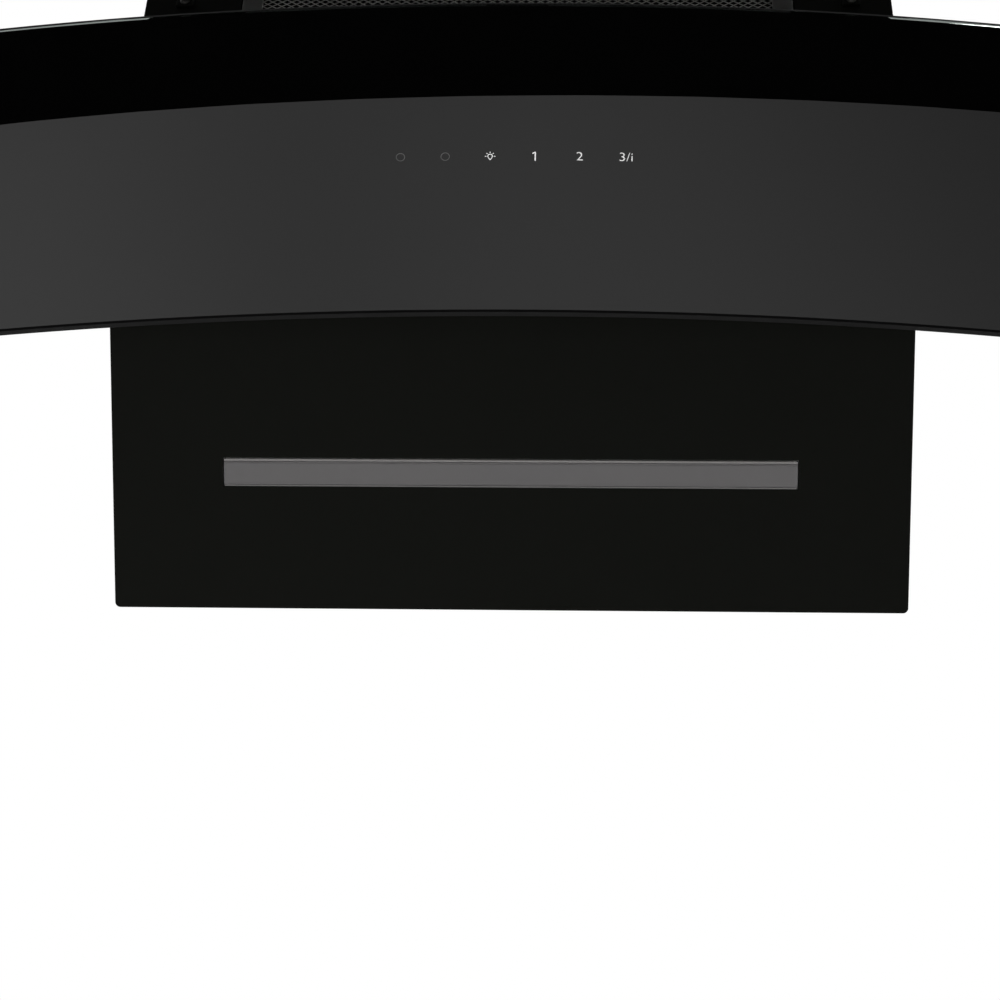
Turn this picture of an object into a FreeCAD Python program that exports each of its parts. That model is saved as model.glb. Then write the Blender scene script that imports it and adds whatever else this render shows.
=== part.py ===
import FreeCAD, Part
import math
import os

# Angled range hood: a wedge-shaped casing on the wall, a curved glass visor on hinges in front of it,
# a grease filter, a fan, a duct collar with dampers and a telescopic chimney.
# Millimetres. The origin is on the wall, at the centre of the four wall bolts.
# X runs to the viewer's right, Y into the wall and Z up.

Vector = FreeCAD.Vector

# Casing
BODY_WIDTH = 598.0
BODY_DEPTH = 207.0
BODY_HEIGHT = 505.0
SHEET = 1.0
FACE_TILT = 42.0  # lean of the lower panel and of the glass from the vertical, in degrees
FOOT_DEPTH = 6.1  # lower panel's front edge from the wall
PANEL_CORNER = 4.0
SEAT_GAP = 0.3  # between pieces that meet without being fixed to each other

# Wall bolts
BOLT_SPACING_X = 540.0
BOLT_SPACING_Z = 200.0
BOLT_HOLE_RADIUS = 4.0
BOLT_HEIGHT = 380.0  # bolts' centre above the lower panel's front edge

# Light strip in the lower panel
LIGHT_LENGTH = 430.8
LIGHT_HEIGHT = 21.7
LIGHT_START = 92.9  # slot's lower edge, up the slope
LIGHT_RECESS = 0.8
DIFFUSER_THICKNESS = 3.2
CHANNEL_DEPTH = 15.0
CHANNEL_WALL = 2.0
LIGHT_BOARD_WIDTH = 14.0
LIGHT_BOARD_THICKNESS = 1.6
LIGHT_CHIP_SIZE = 5.0
LIGHT_CHIP_HEIGHT = 0.8
LIGHT_CHIP_COUNT = 14

# Glass visor
GLASS_WIDTH = 898.0
GLASS_THICKNESS = 5.0
GLASS_RADIUS = 3000.0
GLASS_CORNER = 8.0
GLASS_START = 225.2  # glass's lower edge, up the slope of the lower panel
GLASS_LENGTH = 219.2
GLASS_GAP = 25.0  # between the glass and the lower panel's plane at the middle
RAIL_LENGTH = 560.0
RAIL_THICKNESS = 6.0
RAIL_HEIGHT = 14.0
RAIL_MARGIN = 20.0  # upper rail in from the glass's upper edge
ARM_X = 200.0
ARM_WIDTH = 20.0
ARM_THICKNESS = 6.0
TOUCH_WIDTH = 220.0
TOUCH_HEIGHT = 35.0
TOUCH_DEPTH = 12.0
TOUCH_WALL = 2.0
TOUCH_UP = 112.0  # middle of the touch controls above the glass's lower edge
TOUCH_BOARD_THICKNESS = 1.6
ARM_SCREW_RADIUS = 4.0
ARM_SCREW_HEIGHT = 2.0

# Visor hinges
HINGE_UP = 3.0  # hinge axis above the glass's lower edge
HINGE_OUT = 10.0  # hinge axis off the lower panel
HINGE_PIN_RADIUS = 3.0
HINGE_EYE_RADIUS = 6.0
RUNNING_GAP = 0.05  # radial, between a pin and what turns on it
FIXED_GAP = 0.02  # radial, between a pin and what holds it
BRACKET_CHEEK = 2.5
BRACKET_BASE = 2.0
BRACKET_HEIGHT = 14.0
BRACKET_FOOT = 11.0
BUMPER_RADIUS = 8.0
BUMPER_UP = 60.0  # bumpers above the glass's lower edge

# Filter in the front frame
FILTER_WIDTH = 441.0
FILTER_HEIGHT = 241.5
FILTER_THICKNESS = 9.0
FILTER_BORDER = 16.0
FILTER_FOOT = 237.0  # filter's lower edge above the lower panel's front edge
FILTER_GAP = 1.5
MESH_THICKNESS = 0.8
MESH_INSET = 1.2  # front mesh behind the frame's front face
CORE_THICKNESS = 4.6
MESH_PITCH_X = 26.0
MESH_PITCH_Z = 20.0
MESH_STRAND = 5.0
TRUNNION_RADIUS = 2.0
TRUNNION_UP = 4.0
TRUNNION_BACK = 3.6  # trunnion axis behind the front face
TRUNNION_REACH = 8.0
SOCKET_SIZE = 9.0
SOCKET_WIDTH = 5.0
LATCH_WIDTH = 50.0
LATCH_THICKNESS = 7.0
LATCH_HEIGHT = 6.0
LATCH_TRAVEL = 5.0
LATCH_RIB = 1.8
LATCH_RIB_THICKNESS = 3.0
LATCH_GRIP = 3.0
LATCH_NOSE_WIDTH = 20.0
SPRING_THICKNESS = 0.5
SPRING_WIDTH = 6.0
STOP_X = 150.0
STOP_WIDTH = 20.0
STOP_LAP = 10.0

# Pads with screws beside the filter
PAD_X = 266.6
PAD_UP = 447.0
PAD_WIDTH = 13.6
PAD_HEIGHT = 10.0
PAD_THICKNESS = 4.0
PAD_SCREW_RADIUS = 4.0
PAD_SCREW_HEIGHT = 2.5

# Fan
FAN_BACK = 20.0  # volute's back from the wall
FAN_DEPTH = 120.0
FAN_UP = 325.0
FAN_WALL = 2.0
IMPELLER_RADIUS = 105.0
IMPELLER_LENGTH = 88.0
IMPELLER_INNER_RADIUS = 87.0
IMPELLER_RING = 3.0
BLADE_COUNT = 36
BLADE_THICKNESS = 1.5
BLADE_ANGLE = 35.0
TONGUE_GAP = 9.0  # between the impeller and the spiral where it starts
SPIRAL_STEP = 12.0  # growth of the spiral in each quarter turn
TONGUE_ANGLE = 60.0
INLET_RADIUS = 84.0
INLET_LIP = 12.0
INLET_DEPTH = 6.0
INLET_WALL = 2.0
MOTOR_RADIUS = 45.0
MOTOR_LENGTH = 54.0
MOTOR_BOSS_RADIUS = 12.0
MOTOR_BOSS_LENGTH = 4.0
MOTOR_BORE_DEPTH = 42.0
SHAFT_RADIUS = 4.0
HUB_RADIUS = 12.0
HUB_LENGTH = 18.0
HUB_GAP = 2.0
HUB_DISC = 3.0
NUT_RADIUS = 7.5
NUT_LENGTH = 6.0
SHAFT_END = 2.0  # shaft past the nut
MOTOR_SCREW_RADIUS = 3.0
MOTOR_SCREW_CIRCLE = 36.0
MOTOR_SCREW_HEIGHT = 2.5
POST_RADIUS = 6.0
POST_SPREAD_X = 90.0
POST_SPREAD_Z = 80.0

# Electrics
BOX_X = 170.0
BOX_UP = 425.0
BOX_WIDTH = 150.0
BOX_HEIGHT = 90.0
BOX_DEPTH = 45.0
BOX_WALL = 2.0
BOARD_THICKNESS = 1.6
BOARD_STANDOFF = 6.0
CAPACITOR_X = 150.0
CAPACITOR_UP = 290.0
CAPACITOR_RADIUS = 17.5
CAPACITOR_LENGTH = 70.0
CLIP_THICKNESS = 1.5
CLIP_HEIGHT = 15.0
GLAND_X = 112.0
GLAND_BACK = 40.0
GLAND_BORE_RADIUS = 4.5
GLAND_THREAD_RADIUS = 8.0
GLAND_NUT_RADIUS = 12.0
GLAND_NUT_HEIGHT = 6.0
GLAND_HEIGHT = 20.0

# Outlet collar and dampers
COLLAR_BACK = 90.0  # collar's axis from the wall
COLLAR_RADIUS = 75.0
COLLAR_WALL = 2.5
COLLAR_HEIGHT = 60.0
COLLAR_FLANGE = 14.0
COLLAR_FLANGE_THICKNESS = 3.0
COLLAR_SCREW_RADIUS = 3.0
COLLAR_SCREW_HEIGHT = 2.0
SPINDLE_UP = 30.0
SPINDLE_RADIUS = 2.0
SPINDLE_SEAT = 1.8  # depth of its blind holes in the collar's wall
KNUCKLE_RADIUS = 4.0
KNUCKLE_LENGTH = 25.0
KNUCKLE_GAP = 5.0
FLAP_THICKNESS = 1.2
FLAP_GAP = 1.0
LEDGE_WIDTH = 2.5
LEDGE_HEIGHT = 2.0

# Chimney
CHIMNEY_WIDTH = 300.0
CHIMNEY_DEPTH = 205.0
UPPER_HEIGHT = 325.0
UPPER_START = 40.0  # upper cover's foot above the casing when it is pushed down
UPPER_SHOWS = 25.0  # upper cover above the lower one when it is pushed down
SLIDE_GAP = 0.5
FOOT_BRACKET_HEIGHT = 25.0
FOOT_BRACKET_WIDTH = 40.0
FOOT_BRACKET_THICKNESS = 1.5
WALL_BRACKET_HEIGHT = 20.0
WALL_BRACKET_TAB = 30.0
WALL_BRACKET_DROP = 3.0  # bracket below the upper cover's top edge
WALL_HOLE_RADIUS = 2.75
WALL_HOLE_SPACING = 200.0
CHIMNEY_SCREW_RADIUS = 4.0
CHIMNEY_SCREW_HEIGHT = 2.0
TOP_SCREW_RADIUS = 4.0
TOP_SCREW_HEIGHT = 2.0
TOP_SCREW_MARGIN = 15.0

# Places worked out from the sizes above
LEAN = math.radians(FACE_TILT)
ALONG = Vector(0, -math.sin(LEAN), math.cos(LEAN))
OUT = Vector(0, -math.cos(LEAN), -math.sin(LEAN))
HALF_WIDTH = BODY_WIDTH / 2
FOOT_Z = -BOLT_HEIGHT
TOP_Z = FOOT_Z + BODY_HEIGHT
FRONT_Y = -BODY_DEPTH
PANEL_LENGTH = (BODY_DEPTH - FOOT_DEPTH) / math.sin(LEAN)
KNEE_Z = FOOT_Z + PANEL_LENGTH * math.cos(LEAN)
FILTER_LOW = FOOT_Z + FILTER_FOOT
FILTER_HIGH = FILTER_LOW + FILTER_HEIGHT
FAN_Z = FOOT_Z + FAN_UP
SPIRAL_INNER = IMPELLER_RADIUS + TONGUE_GAP
SPIRAL_OUTER = SPIRAL_INNER + 3 * SPIRAL_STEP
OUTLET_RIGHT = SPIRAL_STEP / 2 + SPIRAL_OUTER
OUTLET_LEFT = SPIRAL_INNER * math.cos(math.radians(TONGUE_ANGLE)) - SPIRAL_STEP / 2
FAN_X = -(OUTLET_LEFT + OUTLET_RIGHT) / 2
FAN_REAR_Y = -FAN_BACK
FAN_FRONT_Y = -FAN_BACK - FAN_DEPTH
FAN_SPLIT_Y = (FAN_REAR_Y + FAN_FRONT_Y) / 2
MOTOR_FRONT_Y = FAN_REAR_Y - FAN_WALL - MOTOR_LENGTH
MOTOR_BOSS_Y = MOTOR_FRONT_Y - MOTOR_BOSS_LENGTH
HUB_REAR_Y = MOTOR_BOSS_Y - HUB_GAP
HUB_FRONT_Y = HUB_REAR_Y - HUB_LENGTH
HINGE_ALONG = GLASS_START + HINGE_UP
COLLAR_BORE = COLLAR_RADIUS - COLLAR_WALL
CHIMNEY_HEIGHT = UPPER_START + UPPER_HEIGHT - UPPER_SHOWS


def box(x0, x1, y0, y1, z0, z1):
    """Block between two corners."""
    low = Vector(min(x0, x1), min(y0, y1), min(z0, z1))
    return Part.makeBox(abs(x1 - x0), abs(y1 - y0), abs(z1 - z0), low)


def rod(radius, start, end):
    """Round bar from one point to another."""
    way = end - start
    return Part.makeCylinder(radius, way.Length, start, way)


def pipe(outer, inner, start, end):
    """Round tube from one point to another."""
    return rod(outer, start, end).cut(rod(inner, start, end))


def hexagon_bar(radius, start, end):
    """Six-sided bar from one point to another; the radius is to its corners."""
    way = end - start
    turn = FreeCAD.Placement(start, FreeCAD.Rotation(Vector(0, 0, 1), way))
    corners = [turn.multVec(Vector(radius * math.cos(math.radians(60 * step)),
                                   radius * math.sin(math.radians(60 * step)), 0)) for step in range(7)]
    return Part.Face(Part.makePolygon(corners)).extrude(way)


def on_slope(x, along, out):
    """Point at a distance up the lower panel's slope and out from its front face."""
    return Vector(x, -FOOT_DEPTH, FOOT_Z) + ALONG * along + OUT * out


def slope_block(x0, x1, along0, along1, out0, out1):
    """Block whose sides follow the lower panel's slope."""
    corners = [on_slope(x0, along0, out0), on_slope(x0, along1, out0),
               on_slope(x0, along1, out1), on_slope(x0, along0, out1)]
    return Part.Face(Part.makePolygon(corners + corners[:1])).extrude(Vector(x1 - x0, 0, 0))


def glass_point(x, depth, up):
    """Point on the glass's arc, at a depth square to it and a way up its slope."""
    start = on_slope(x, GLASS_START, GLASS_GAP + GLASS_THICKNESS) + ALONG * up
    sag = GLASS_RADIUS - math.sqrt(GLASS_RADIUS ** 2 - x ** 2)
    return start + Vector(0, sag + depth / math.cos(LEAN), 0)


def slope_place(point):
    """How far a point lies up the lower panel's slope, and how far out from its front face."""
    way = point - Vector(point.x, -FOOT_DEPTH, FOOT_Z)
    return way.dot(ALONG), way.dot(OUT)


def visor_slab(x0, x1, depth0, depth1, up0, up1):
    """Curved slab between two depths behind the glass's front face, with level ends."""
    across = (x0, (x0 + x1) / 2, x1)
    near = [glass_point(x, depth0, up0) for x in across]
    far = [glass_point(x, depth1, up0) for x in across]
    sides = [Part.LineSegment(near[step], far[step]) for step in (0, 2)]
    outline = [Part.Arc(*near), sides[1], Part.Arc(*far), sides[0]]
    wire = Part.Wire(Part.__sortEdges__([curve.toShape() for curve in outline]))
    return Part.Face(wire).extrude(ALONG * (up1 - up0))


def edges_at(shape, points):
    """Edges of a shape whose middles lie at the given points."""
    found = []
    for edge in shape.Edges:
        if min(edge.CenterOfMass.distanceToPoint(point) for point in points) < SEAT_GAP:
            found.append(edge)
    return found


def mirrored(shape):
    """The same shape on the other side of the middle plane."""
    return shape.mirror(Vector(0, 0, 0), Vector(1, 0, 0))


def pair(shape):
    """A shape and its mirror image, as separate solids."""
    return Part.makeCompound([shape, mirrored(shape)])


def back_panel():
    """Sheet on the wall with the four bolt holes."""
    half = HALF_WIDTH - SHEET
    panel = box(-half, half, -SHEET, 0, FOOT_Z + SHEET * math.sin(LEAN), TOP_Z - SHEET)
    for x in (-BOLT_SPACING_X / 2, BOLT_SPACING_X / 2):
        for z in (-BOLT_SPACING_Z / 2, BOLT_SPACING_Z / 2):
            panel = panel.cut(rod(BOLT_HOLE_RADIUS, Vector(x, -SHEET, z), Vector(x, 0, z)))
    return panel


def side_panel():
    """Right side sheet, behind the lower panel and the front frame."""
    inner_foot = on_slope(0, 0, -SHEET)
    inner_front = FRONT_Y + SHEET
    knee_along = (inner_foot.y - inner_front) / math.sin(LEAN)
    knee = on_slope(0, knee_along, -SHEET)
    outline = [(0, inner_foot.z), (inner_foot.y, inner_foot.z), (inner_front, knee.z),
               (inner_front, TOP_Z - SHEET), (0, TOP_Z - SHEET)]
    corners = [Vector(HALF_WIDTH - SHEET, y, z) for y, z in outline]
    return Part.Face(Part.makePolygon(corners + corners[:1])).extrude(Vector(SHEET, 0, 0))


def top_panel():
    """Top sheet with the outlet hole and the hole of the cable gland."""
    panel = box(-HALF_WIDTH, HALF_WIDTH, FRONT_Y, 0, TOP_Z - SHEET, TOP_Z)
    outlet = Vector(0, -COLLAR_BACK, TOP_Z)
    gland = Vector(GLAND_X, -GLAND_BACK, TOP_Z)
    drop = Vector(0, 0, SHEET)
    panel = panel.cut(rod(COLLAR_BORE, outlet - drop, outlet))
    return panel.cut(rod(GLAND_THREAD_RADIUS, gland - drop, gland))


def front_frame():
    """Upright front sheet around the filter."""
    half = FILTER_WIDTH / 2 + FILTER_GAP
    back = FRONT_Y + SHEET
    sheet = box(-HALF_WIDTH, HALF_WIDTH, FRONT_Y, back, KNEE_Z + SHEET, TOP_Z - SHEET)
    return sheet.cut(box(-half, half, FRONT_Y, back, FILTER_LOW - FILTER_GAP, FILTER_HIGH + FILTER_GAP))


def lower_panel():
    """Leaning front sheet with the light slot and rounded lower corners."""
    panel = slope_block(-HALF_WIDTH, HALF_WIDTH, 0, PANEL_LENGTH, -SHEET, 0)
    corners = [on_slope(side * HALF_WIDTH, 0, -SHEET / 2) for side in (-1, 1)]
    panel = panel.makeFillet(PANEL_CORNER, edges_at(panel, corners))
    half = LIGHT_LENGTH / 2
    return panel.cut(slope_block(-half, half, LIGHT_START, LIGHT_START + LIGHT_HEIGHT, -SHEET, 0))


def light_channel():
    """Aluminium channel behind the light slot."""
    half = LIGHT_LENGTH / 2
    low = LIGHT_START
    high = LIGHT_START + LIGHT_HEIGHT
    outer = slope_block(-half, half, low - CHANNEL_WALL, high + CHANNEL_WALL, -SHEET - CHANNEL_DEPTH, -SHEET)
    return outer.cut(slope_block(-half, half, low, high, -SHEET - CHANNEL_DEPTH + CHANNEL_WALL, -SHEET))


def light_end_caps():
    """Plates that close the channel's ends."""
    half = LIGHT_LENGTH / 2
    low = LIGHT_START - CHANNEL_WALL
    high = LIGHT_START + LIGHT_HEIGHT + CHANNEL_WALL
    return pair(slope_block(half, half + CHANNEL_WALL, low, high, -SHEET - CHANNEL_DEPTH, -SHEET))


def light_diffuser():
    """Opal strip that fills the light slot, a little behind the panel's face."""
    half = LIGHT_LENGTH / 2 - SEAT_GAP
    low = LIGHT_START + SEAT_GAP
    high = LIGHT_START + LIGHT_HEIGHT - SEAT_GAP
    return slope_block(-half, half, low, high, -LIGHT_RECESS - DIFFUSER_THICKNESS, -LIGHT_RECESS)


def light_board():
    """Circuit strip on the channel's floor, with its light chips."""
    half = LIGHT_LENGTH / 2 - CHANNEL_WALL
    middle = LIGHT_START + LIGHT_HEIGHT / 2
    floor = -SHEET - CHANNEL_DEPTH + CHANNEL_WALL
    face = floor + LIGHT_BOARD_THICKNESS
    side = LIGHT_BOARD_WIDTH / 2
    strip = slope_block(-half, half, middle - side, middle + side, floor, face)
    pitch = 2 * half / LIGHT_CHIP_COUNT
    reach = LIGHT_CHIP_SIZE / 2
    crest = face + LIGHT_CHIP_HEIGHT
    chips = []
    for step in range(LIGHT_CHIP_COUNT):
        x = -half + pitch * (step + 0.5)
        chips.append(slope_block(x - reach, x + reach, middle - reach, middle + reach, face, crest))
    return strip.fuse(chips).removeSplitter()


def glass_panel():
    """Curved glass plate with rounded corners."""
    half = GLASS_WIDTH / 2
    plate = visor_slab(-half, half, 0, GLASS_THICKNESS, 0, GLASS_LENGTH)
    room = plate.BoundBox
    outline = box(-half, half, room.YMin, room.YMax, room.ZMin, room.ZMax)
    middle = (room.YMin + room.YMax) / 2
    corners = [Vector(side * half, middle, z) for side in (-1, 1) for z in (room.ZMin, room.ZMax)]
    return plate.common(outline.makeFillet(GLASS_CORNER, edges_at(outline, corners)))


def visor_rail(up):
    """Curved bar bonded to the back of the glass."""
    half = RAIL_LENGTH / 2
    return visor_slab(-half, half, GLASS_THICKNESS, GLASS_THICKNESS + RAIL_THICKNESS, up, up + RAIL_HEIGHT)


ARM_FRONT = GLASS_THICKNESS + RAIL_THICKNESS
ARM_BACK = ARM_FRONT + ARM_THICKNESS
BRACKET_INNER = ARM_WIDTH / 2 + SEAT_GAP
BRACKET_OUTER = BRACKET_INNER + BRACKET_CHEEK
LOWER_RAIL_FOOT = glass_point(ARM_X + BRACKET_OUTER, ARM_FRONT, 0)
LOWER_RAIL_UP = HINGE_ALONG + HINGE_EYE_RADIUS + SEAT_GAP - slope_place(LOWER_RAIL_FOOT)[0]
UPPER_RAIL_UP = GLASS_LENGTH - RAIL_MARGIN - RAIL_HEIGHT


def visor_arm():
    """Right arm behind the rails, with the hinge eye at its foot."""
    left = ARM_X - ARM_WIDTH / 2
    right = ARM_X + ARM_WIDTH / 2
    foot = HINGE_ALONG - slope_place(glass_point(ARM_X, (ARM_FRONT + ARM_BACK) / 2, 0))[0]
    bar = visor_slab(left, right, ARM_FRONT, ARM_BACK, foot, UPPER_RAIL_UP + RAIL_HEIGHT)
    start = on_slope(left, HINGE_ALONG, HINGE_OUT)
    end = on_slope(right, HINGE_ALONG, HINGE_OUT)
    arm = bar.fuse(rod(HINGE_EYE_RADIUS, start, end))
    return arm.cut(rod(HINGE_PIN_RADIUS + RUNNING_GAP, start, end))


def arm_screws():
    """Pan heads on the back of the arms, in line with the rails."""
    rail_depth = (GLASS_THICKNESS + ARM_FRONT) / 2
    out = slope_place(glass_point(ARM_X + ARM_SCREW_RADIUS, ARM_BACK, 0))[1]
    heads = []
    for up in (LOWER_RAIL_UP, UPPER_RAIL_UP):
        along = slope_place(glass_point(ARM_X, rail_depth, up + RAIL_HEIGHT / 2))[0]
        seat = on_slope(ARM_X, along, out)
        heads.append(rod(ARM_SCREW_RADIUS, seat, seat - OUT * ARM_SCREW_HEIGHT))
    return Part.makeCompound(heads + [mirrored(head) for head in heads])


def touch_housing():
    """Tray on the back of the glass that holds the touch board."""
    half = TOUCH_WIDTH / 2
    low = TOUCH_UP - TOUCH_HEIGHT / 2
    high = TOUCH_UP + TOUCH_HEIGHT / 2
    back = GLASS_THICKNESS + TOUCH_DEPTH
    tray = visor_slab(-half, half, GLASS_THICKNESS, back, low, high)
    hollow = visor_slab(-half + TOUCH_WALL, half - TOUCH_WALL, GLASS_THICKNESS, back - TOUCH_WALL,
                        low + TOUCH_WALL, high - TOUCH_WALL)
    return tray.cut(hollow)


def touch_board():
    """Touch sensor board against the glass, inside its tray."""
    half = TOUCH_WIDTH / 2 - TOUCH_WALL - SEAT_GAP
    low = TOUCH_UP - TOUCH_HEIGHT / 2 + TOUCH_WALL + SEAT_GAP
    high = TOUCH_UP + TOUCH_HEIGHT / 2 - TOUCH_WALL - SEAT_GAP
    return visor_slab(-half, half, GLASS_THICKNESS, GLASS_THICKNESS + TOUCH_BOARD_THICKNESS, low, high)


def hinge_bracket():
    """Right hinge bracket: a foot on the lower panel and two cheeks for the pin."""
    low = HINGE_ALONG - BRACKET_HEIGHT / 2
    high = HINGE_ALONG + BRACKET_HEIGHT / 2
    reach = BRACKET_OUTER + BRACKET_FOOT
    bracket = slope_block(ARM_X - reach, ARM_X + reach, low, high, 0, BRACKET_BASE)
    for side in (-1, 1):
        near = ARM_X + side * BRACKET_INNER
        far = ARM_X + side * BRACKET_OUTER
        foot = HINGE_ALONG - HINGE_EYE_RADIUS
        cheek = slope_block(near, far, foot, foot + 2 * HINGE_EYE_RADIUS, 0, HINGE_OUT)
        ends = [on_slope(x, HINGE_ALONG, HINGE_OUT) for x in (near, far)]
        bracket = bracket.fuse(cheek).fuse(rod(HINGE_EYE_RADIUS, ends[0], ends[1]))
    axis = [on_slope(ARM_X + side * BRACKET_OUTER, HINGE_ALONG, HINGE_OUT) for side in (-1, 1)]
    return bracket.cut(rod(HINGE_PIN_RADIUS + FIXED_GAP, axis[0], axis[1])).removeSplitter()


def hinge_pins():
    """Pins of the two visor hinges."""
    ends = [on_slope(ARM_X + side * BRACKET_OUTER, HINGE_ALONG, HINGE_OUT) for side in (-1, 1)]
    return pair(rod(HINGE_PIN_RADIUS, ends[0], ends[1]))


def visor_bumpers():
    """Rubber buffers on the lower panel, just short of the arms."""
    nearest = slope_place(glass_point(ARM_X + BUMPER_RADIUS, ARM_BACK, 0))[1]
    base = on_slope(ARM_X, GLASS_START + BUMPER_UP, 0)
    return pair(rod(BUMPER_RADIUS, base, base + OUT * (nearest - SEAT_GAP)))


def ring_frame(half, low, high, border, y0, y1):
    """Rectangular frame with a border of one width."""
    outer = box(-half, half, y0, y1, low, high)
    return outer.cut(box(-half + border, half - border, y0, y1, low + border, high - border))


NOTCH_HALF = LATCH_WIDTH / 2 + SEAT_GAP
NOTCH_DEPTH = LATCH_HEIGHT + LATCH_TRAVEL + 2 * SPRING_THICKNESS
LATCH_MIDDLE_Y = FRONT_Y + FILTER_THICKNESS / 2
SPRING_SEAT_Z = FILTER_HIGH - NOTCH_DEPTH


def filter_frame():
    """Filter frame with the latch's notch and guide grooves, and trunnions at its foot."""
    half = FILTER_WIDTH / 2
    back = FRONT_Y + FILTER_THICKNESS
    frame = ring_frame(half, FILTER_LOW, FILTER_HIGH, FILTER_BORDER, FRONT_Y, back)
    frame = frame.cut(box(-NOTCH_HALF, NOTCH_HALF, FRONT_Y, back, SPRING_SEAT_Z, FILTER_HIGH))
    groove = LATCH_RIB_THICKNESS / 2 + SEAT_GAP
    reach = NOTCH_HALF + LATCH_RIB
    sides = (LATCH_MIDDLE_Y - groove, LATCH_MIDDLE_Y + groove)
    frame = frame.cut(box(-reach, reach, sides[0], sides[1], SPRING_SEAT_Z, FILTER_HIGH))
    for side in (-1, 1):
        start = Vector(side * half, FRONT_Y + TRUNNION_BACK, FILTER_LOW + TRUNNION_UP)
        inner = start - Vector(side * FILTER_BORDER / 2, 0, 0)
        frame = frame.fuse(rod(TRUNNION_RADIUS, inner, start + Vector(side * TRUNNION_REACH, 0, 0)))
    return frame


def filter_sheet(y0, thickness):
    """Sheet that fills the filter frame."""
    half = FILTER_WIDTH / 2 - FILTER_BORDER
    return box(-half, half, y0, y0 + thickness, FILTER_LOW + FILTER_BORDER, FILTER_HIGH - FILTER_BORDER)


def mesh_sheet(y0):
    """Expanded-metal sheet: one face with staggered diamond holes, made thick."""
    width = FILTER_WIDTH - 2 * FILTER_BORDER
    height = FILTER_HEIGHT - 2 * FILTER_BORDER
    columns = int((width - MESH_STRAND) / MESH_PITCH_X)
    rows = int((height - MESH_STRAND) / (MESH_PITCH_Z / 2)) - 1
    middle = (FILTER_LOW + FILTER_HIGH) / 2

    def outline(x, z, half_width, half_height, turn):
        steps = [(1, turn), (-turn, 1), (-1, -turn), (turn, -1), (1, turn)]
        return Part.makePolygon([Vector(x + a * half_width, y0, z + b * half_height) for a, b in steps])

    wires = [outline(0, middle, width / 2, height / 2, 1)]
    for row in range(rows):
        shift = row % 2
        z = middle + (row - (rows - 1) / 2) * MESH_PITCH_Z / 2
        for column in range(columns - shift):
            x = (column + shift / 2 - (columns - 1) / 2) * MESH_PITCH_X
            wires.append(outline(x, z, (MESH_PITCH_X - MESH_STRAND) / 2, (MESH_PITCH_Z - MESH_STRAND) / 2, 0))
    return Part.makeFace(wires, "Part::FaceMakerBullseye").extrude(Vector(0, MESH_THICKNESS, 0))


def filter_latch():
    """Slide in the filter's top edge, with a finger grip and a nose just short of the front frame."""
    half = LATCH_WIDTH / 2
    low = FILTER_HIGH - LATCH_HEIGHT
    front = LATCH_MIDDLE_Y - LATCH_THICKNESS / 2
    back = LATCH_MIDDLE_Y + LATCH_THICKNESS / 2
    slide = box(-half, half, front, back, low, FILTER_HIGH)
    rib = LATCH_RIB_THICKNESS / 2
    slide = slide.fuse(box(-half - LATCH_RIB, half + LATCH_RIB, LATCH_MIDDLE_Y - rib, LATCH_MIDDLE_Y + rib,
                           low, FILTER_HIGH))
    nose = LATCH_NOSE_WIDTH / 2
    slide = slide.fuse(box(-nose, nose, front, back, low, FILTER_HIGH + FILTER_GAP - SEAT_GAP))
    grip = box(-nose, nose, FRONT_Y - LATCH_GRIP, front, low, low + LATCH_HEIGHT / 2)
    return slide.fuse(grip).removeSplitter()


def filter_latch_spring():
    """Bowed leaf spring under the latch."""
    half = LATCH_WIDTH / 2 - LATCH_RIB
    crown = FILTER_HIGH - LATCH_HEIGHT - SEAT_GAP
    y0 = LATCH_MIDDLE_Y - SPRING_WIDTH / 2
    seat = SPRING_SEAT_Z
    thick = SPRING_THICKNESS
    upper = Part.Arc(Vector(-half, y0, seat + thick), Vector(0, y0, crown), Vector(half, y0, seat + thick))
    lower = Part.Arc(Vector(half, y0, seat), Vector(0, y0, crown - thick), Vector(-half, y0, seat))
    right = Part.LineSegment(Vector(half, y0, seat + thick), Vector(half, y0, seat))
    left = Part.LineSegment(Vector(-half, y0, seat), Vector(-half, y0, seat + thick))
    wire = Part.Wire([upper.toShape(), right.toShape(), lower.toShape(), left.toShape()])
    return Part.Face(wire).extrude(Vector(0, SPRING_WIDTH, 0))


def filter_sockets():
    """Blocks behind the front frame that carry the filter's trunnions."""
    x0 = FILTER_WIDTH / 2 + FILTER_GAP
    y = FRONT_Y + TRUNNION_BACK
    z = FILTER_LOW + TRUNNION_UP
    reach = SOCKET_SIZE / 2
    block = box(x0, x0 + SOCKET_WIDTH, FRONT_Y + SHEET, y + reach, z - reach, z + reach)
    bore = rod(TRUNNION_RADIUS + RUNNING_GAP, Vector(x0, y, z), Vector(x0 + SOCKET_WIDTH, y, z))
    return pair(block.cut(bore))


def filter_stops():
    """Angled tabs behind the front frame that the closed filter backs on to."""
    half = STOP_WIDTH / 2
    seat = FRONT_Y + FILTER_THICKNESS + SEAT_GAP
    edge = FILTER_HIGH + FILTER_GAP
    tab = box(STOP_X - half, STOP_X + half, FRONT_Y + SHEET, seat + SHEET, edge, edge + SHEET)
    foot = box(STOP_X - half, STOP_X + half, FRONT_Y + SHEET, FRONT_Y + 2 * SHEET, edge, edge + STOP_LAP)
    lip = box(STOP_X - half, STOP_X + half, seat, seat + SHEET, FILTER_HIGH - STOP_LAP, edge + SHEET)
    return pair(tab.fuse(foot).fuse(lip).removeSplitter())


def front_pads():
    """Pads on the front frame beside the filter."""
    low = FOOT_Z + PAD_UP - PAD_HEIGHT / 2
    half = PAD_WIDTH / 2
    return pair(box(PAD_X - half, PAD_X + half, FRONT_Y - PAD_THICKNESS, FRONT_Y, low, low + PAD_HEIGHT))


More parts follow.
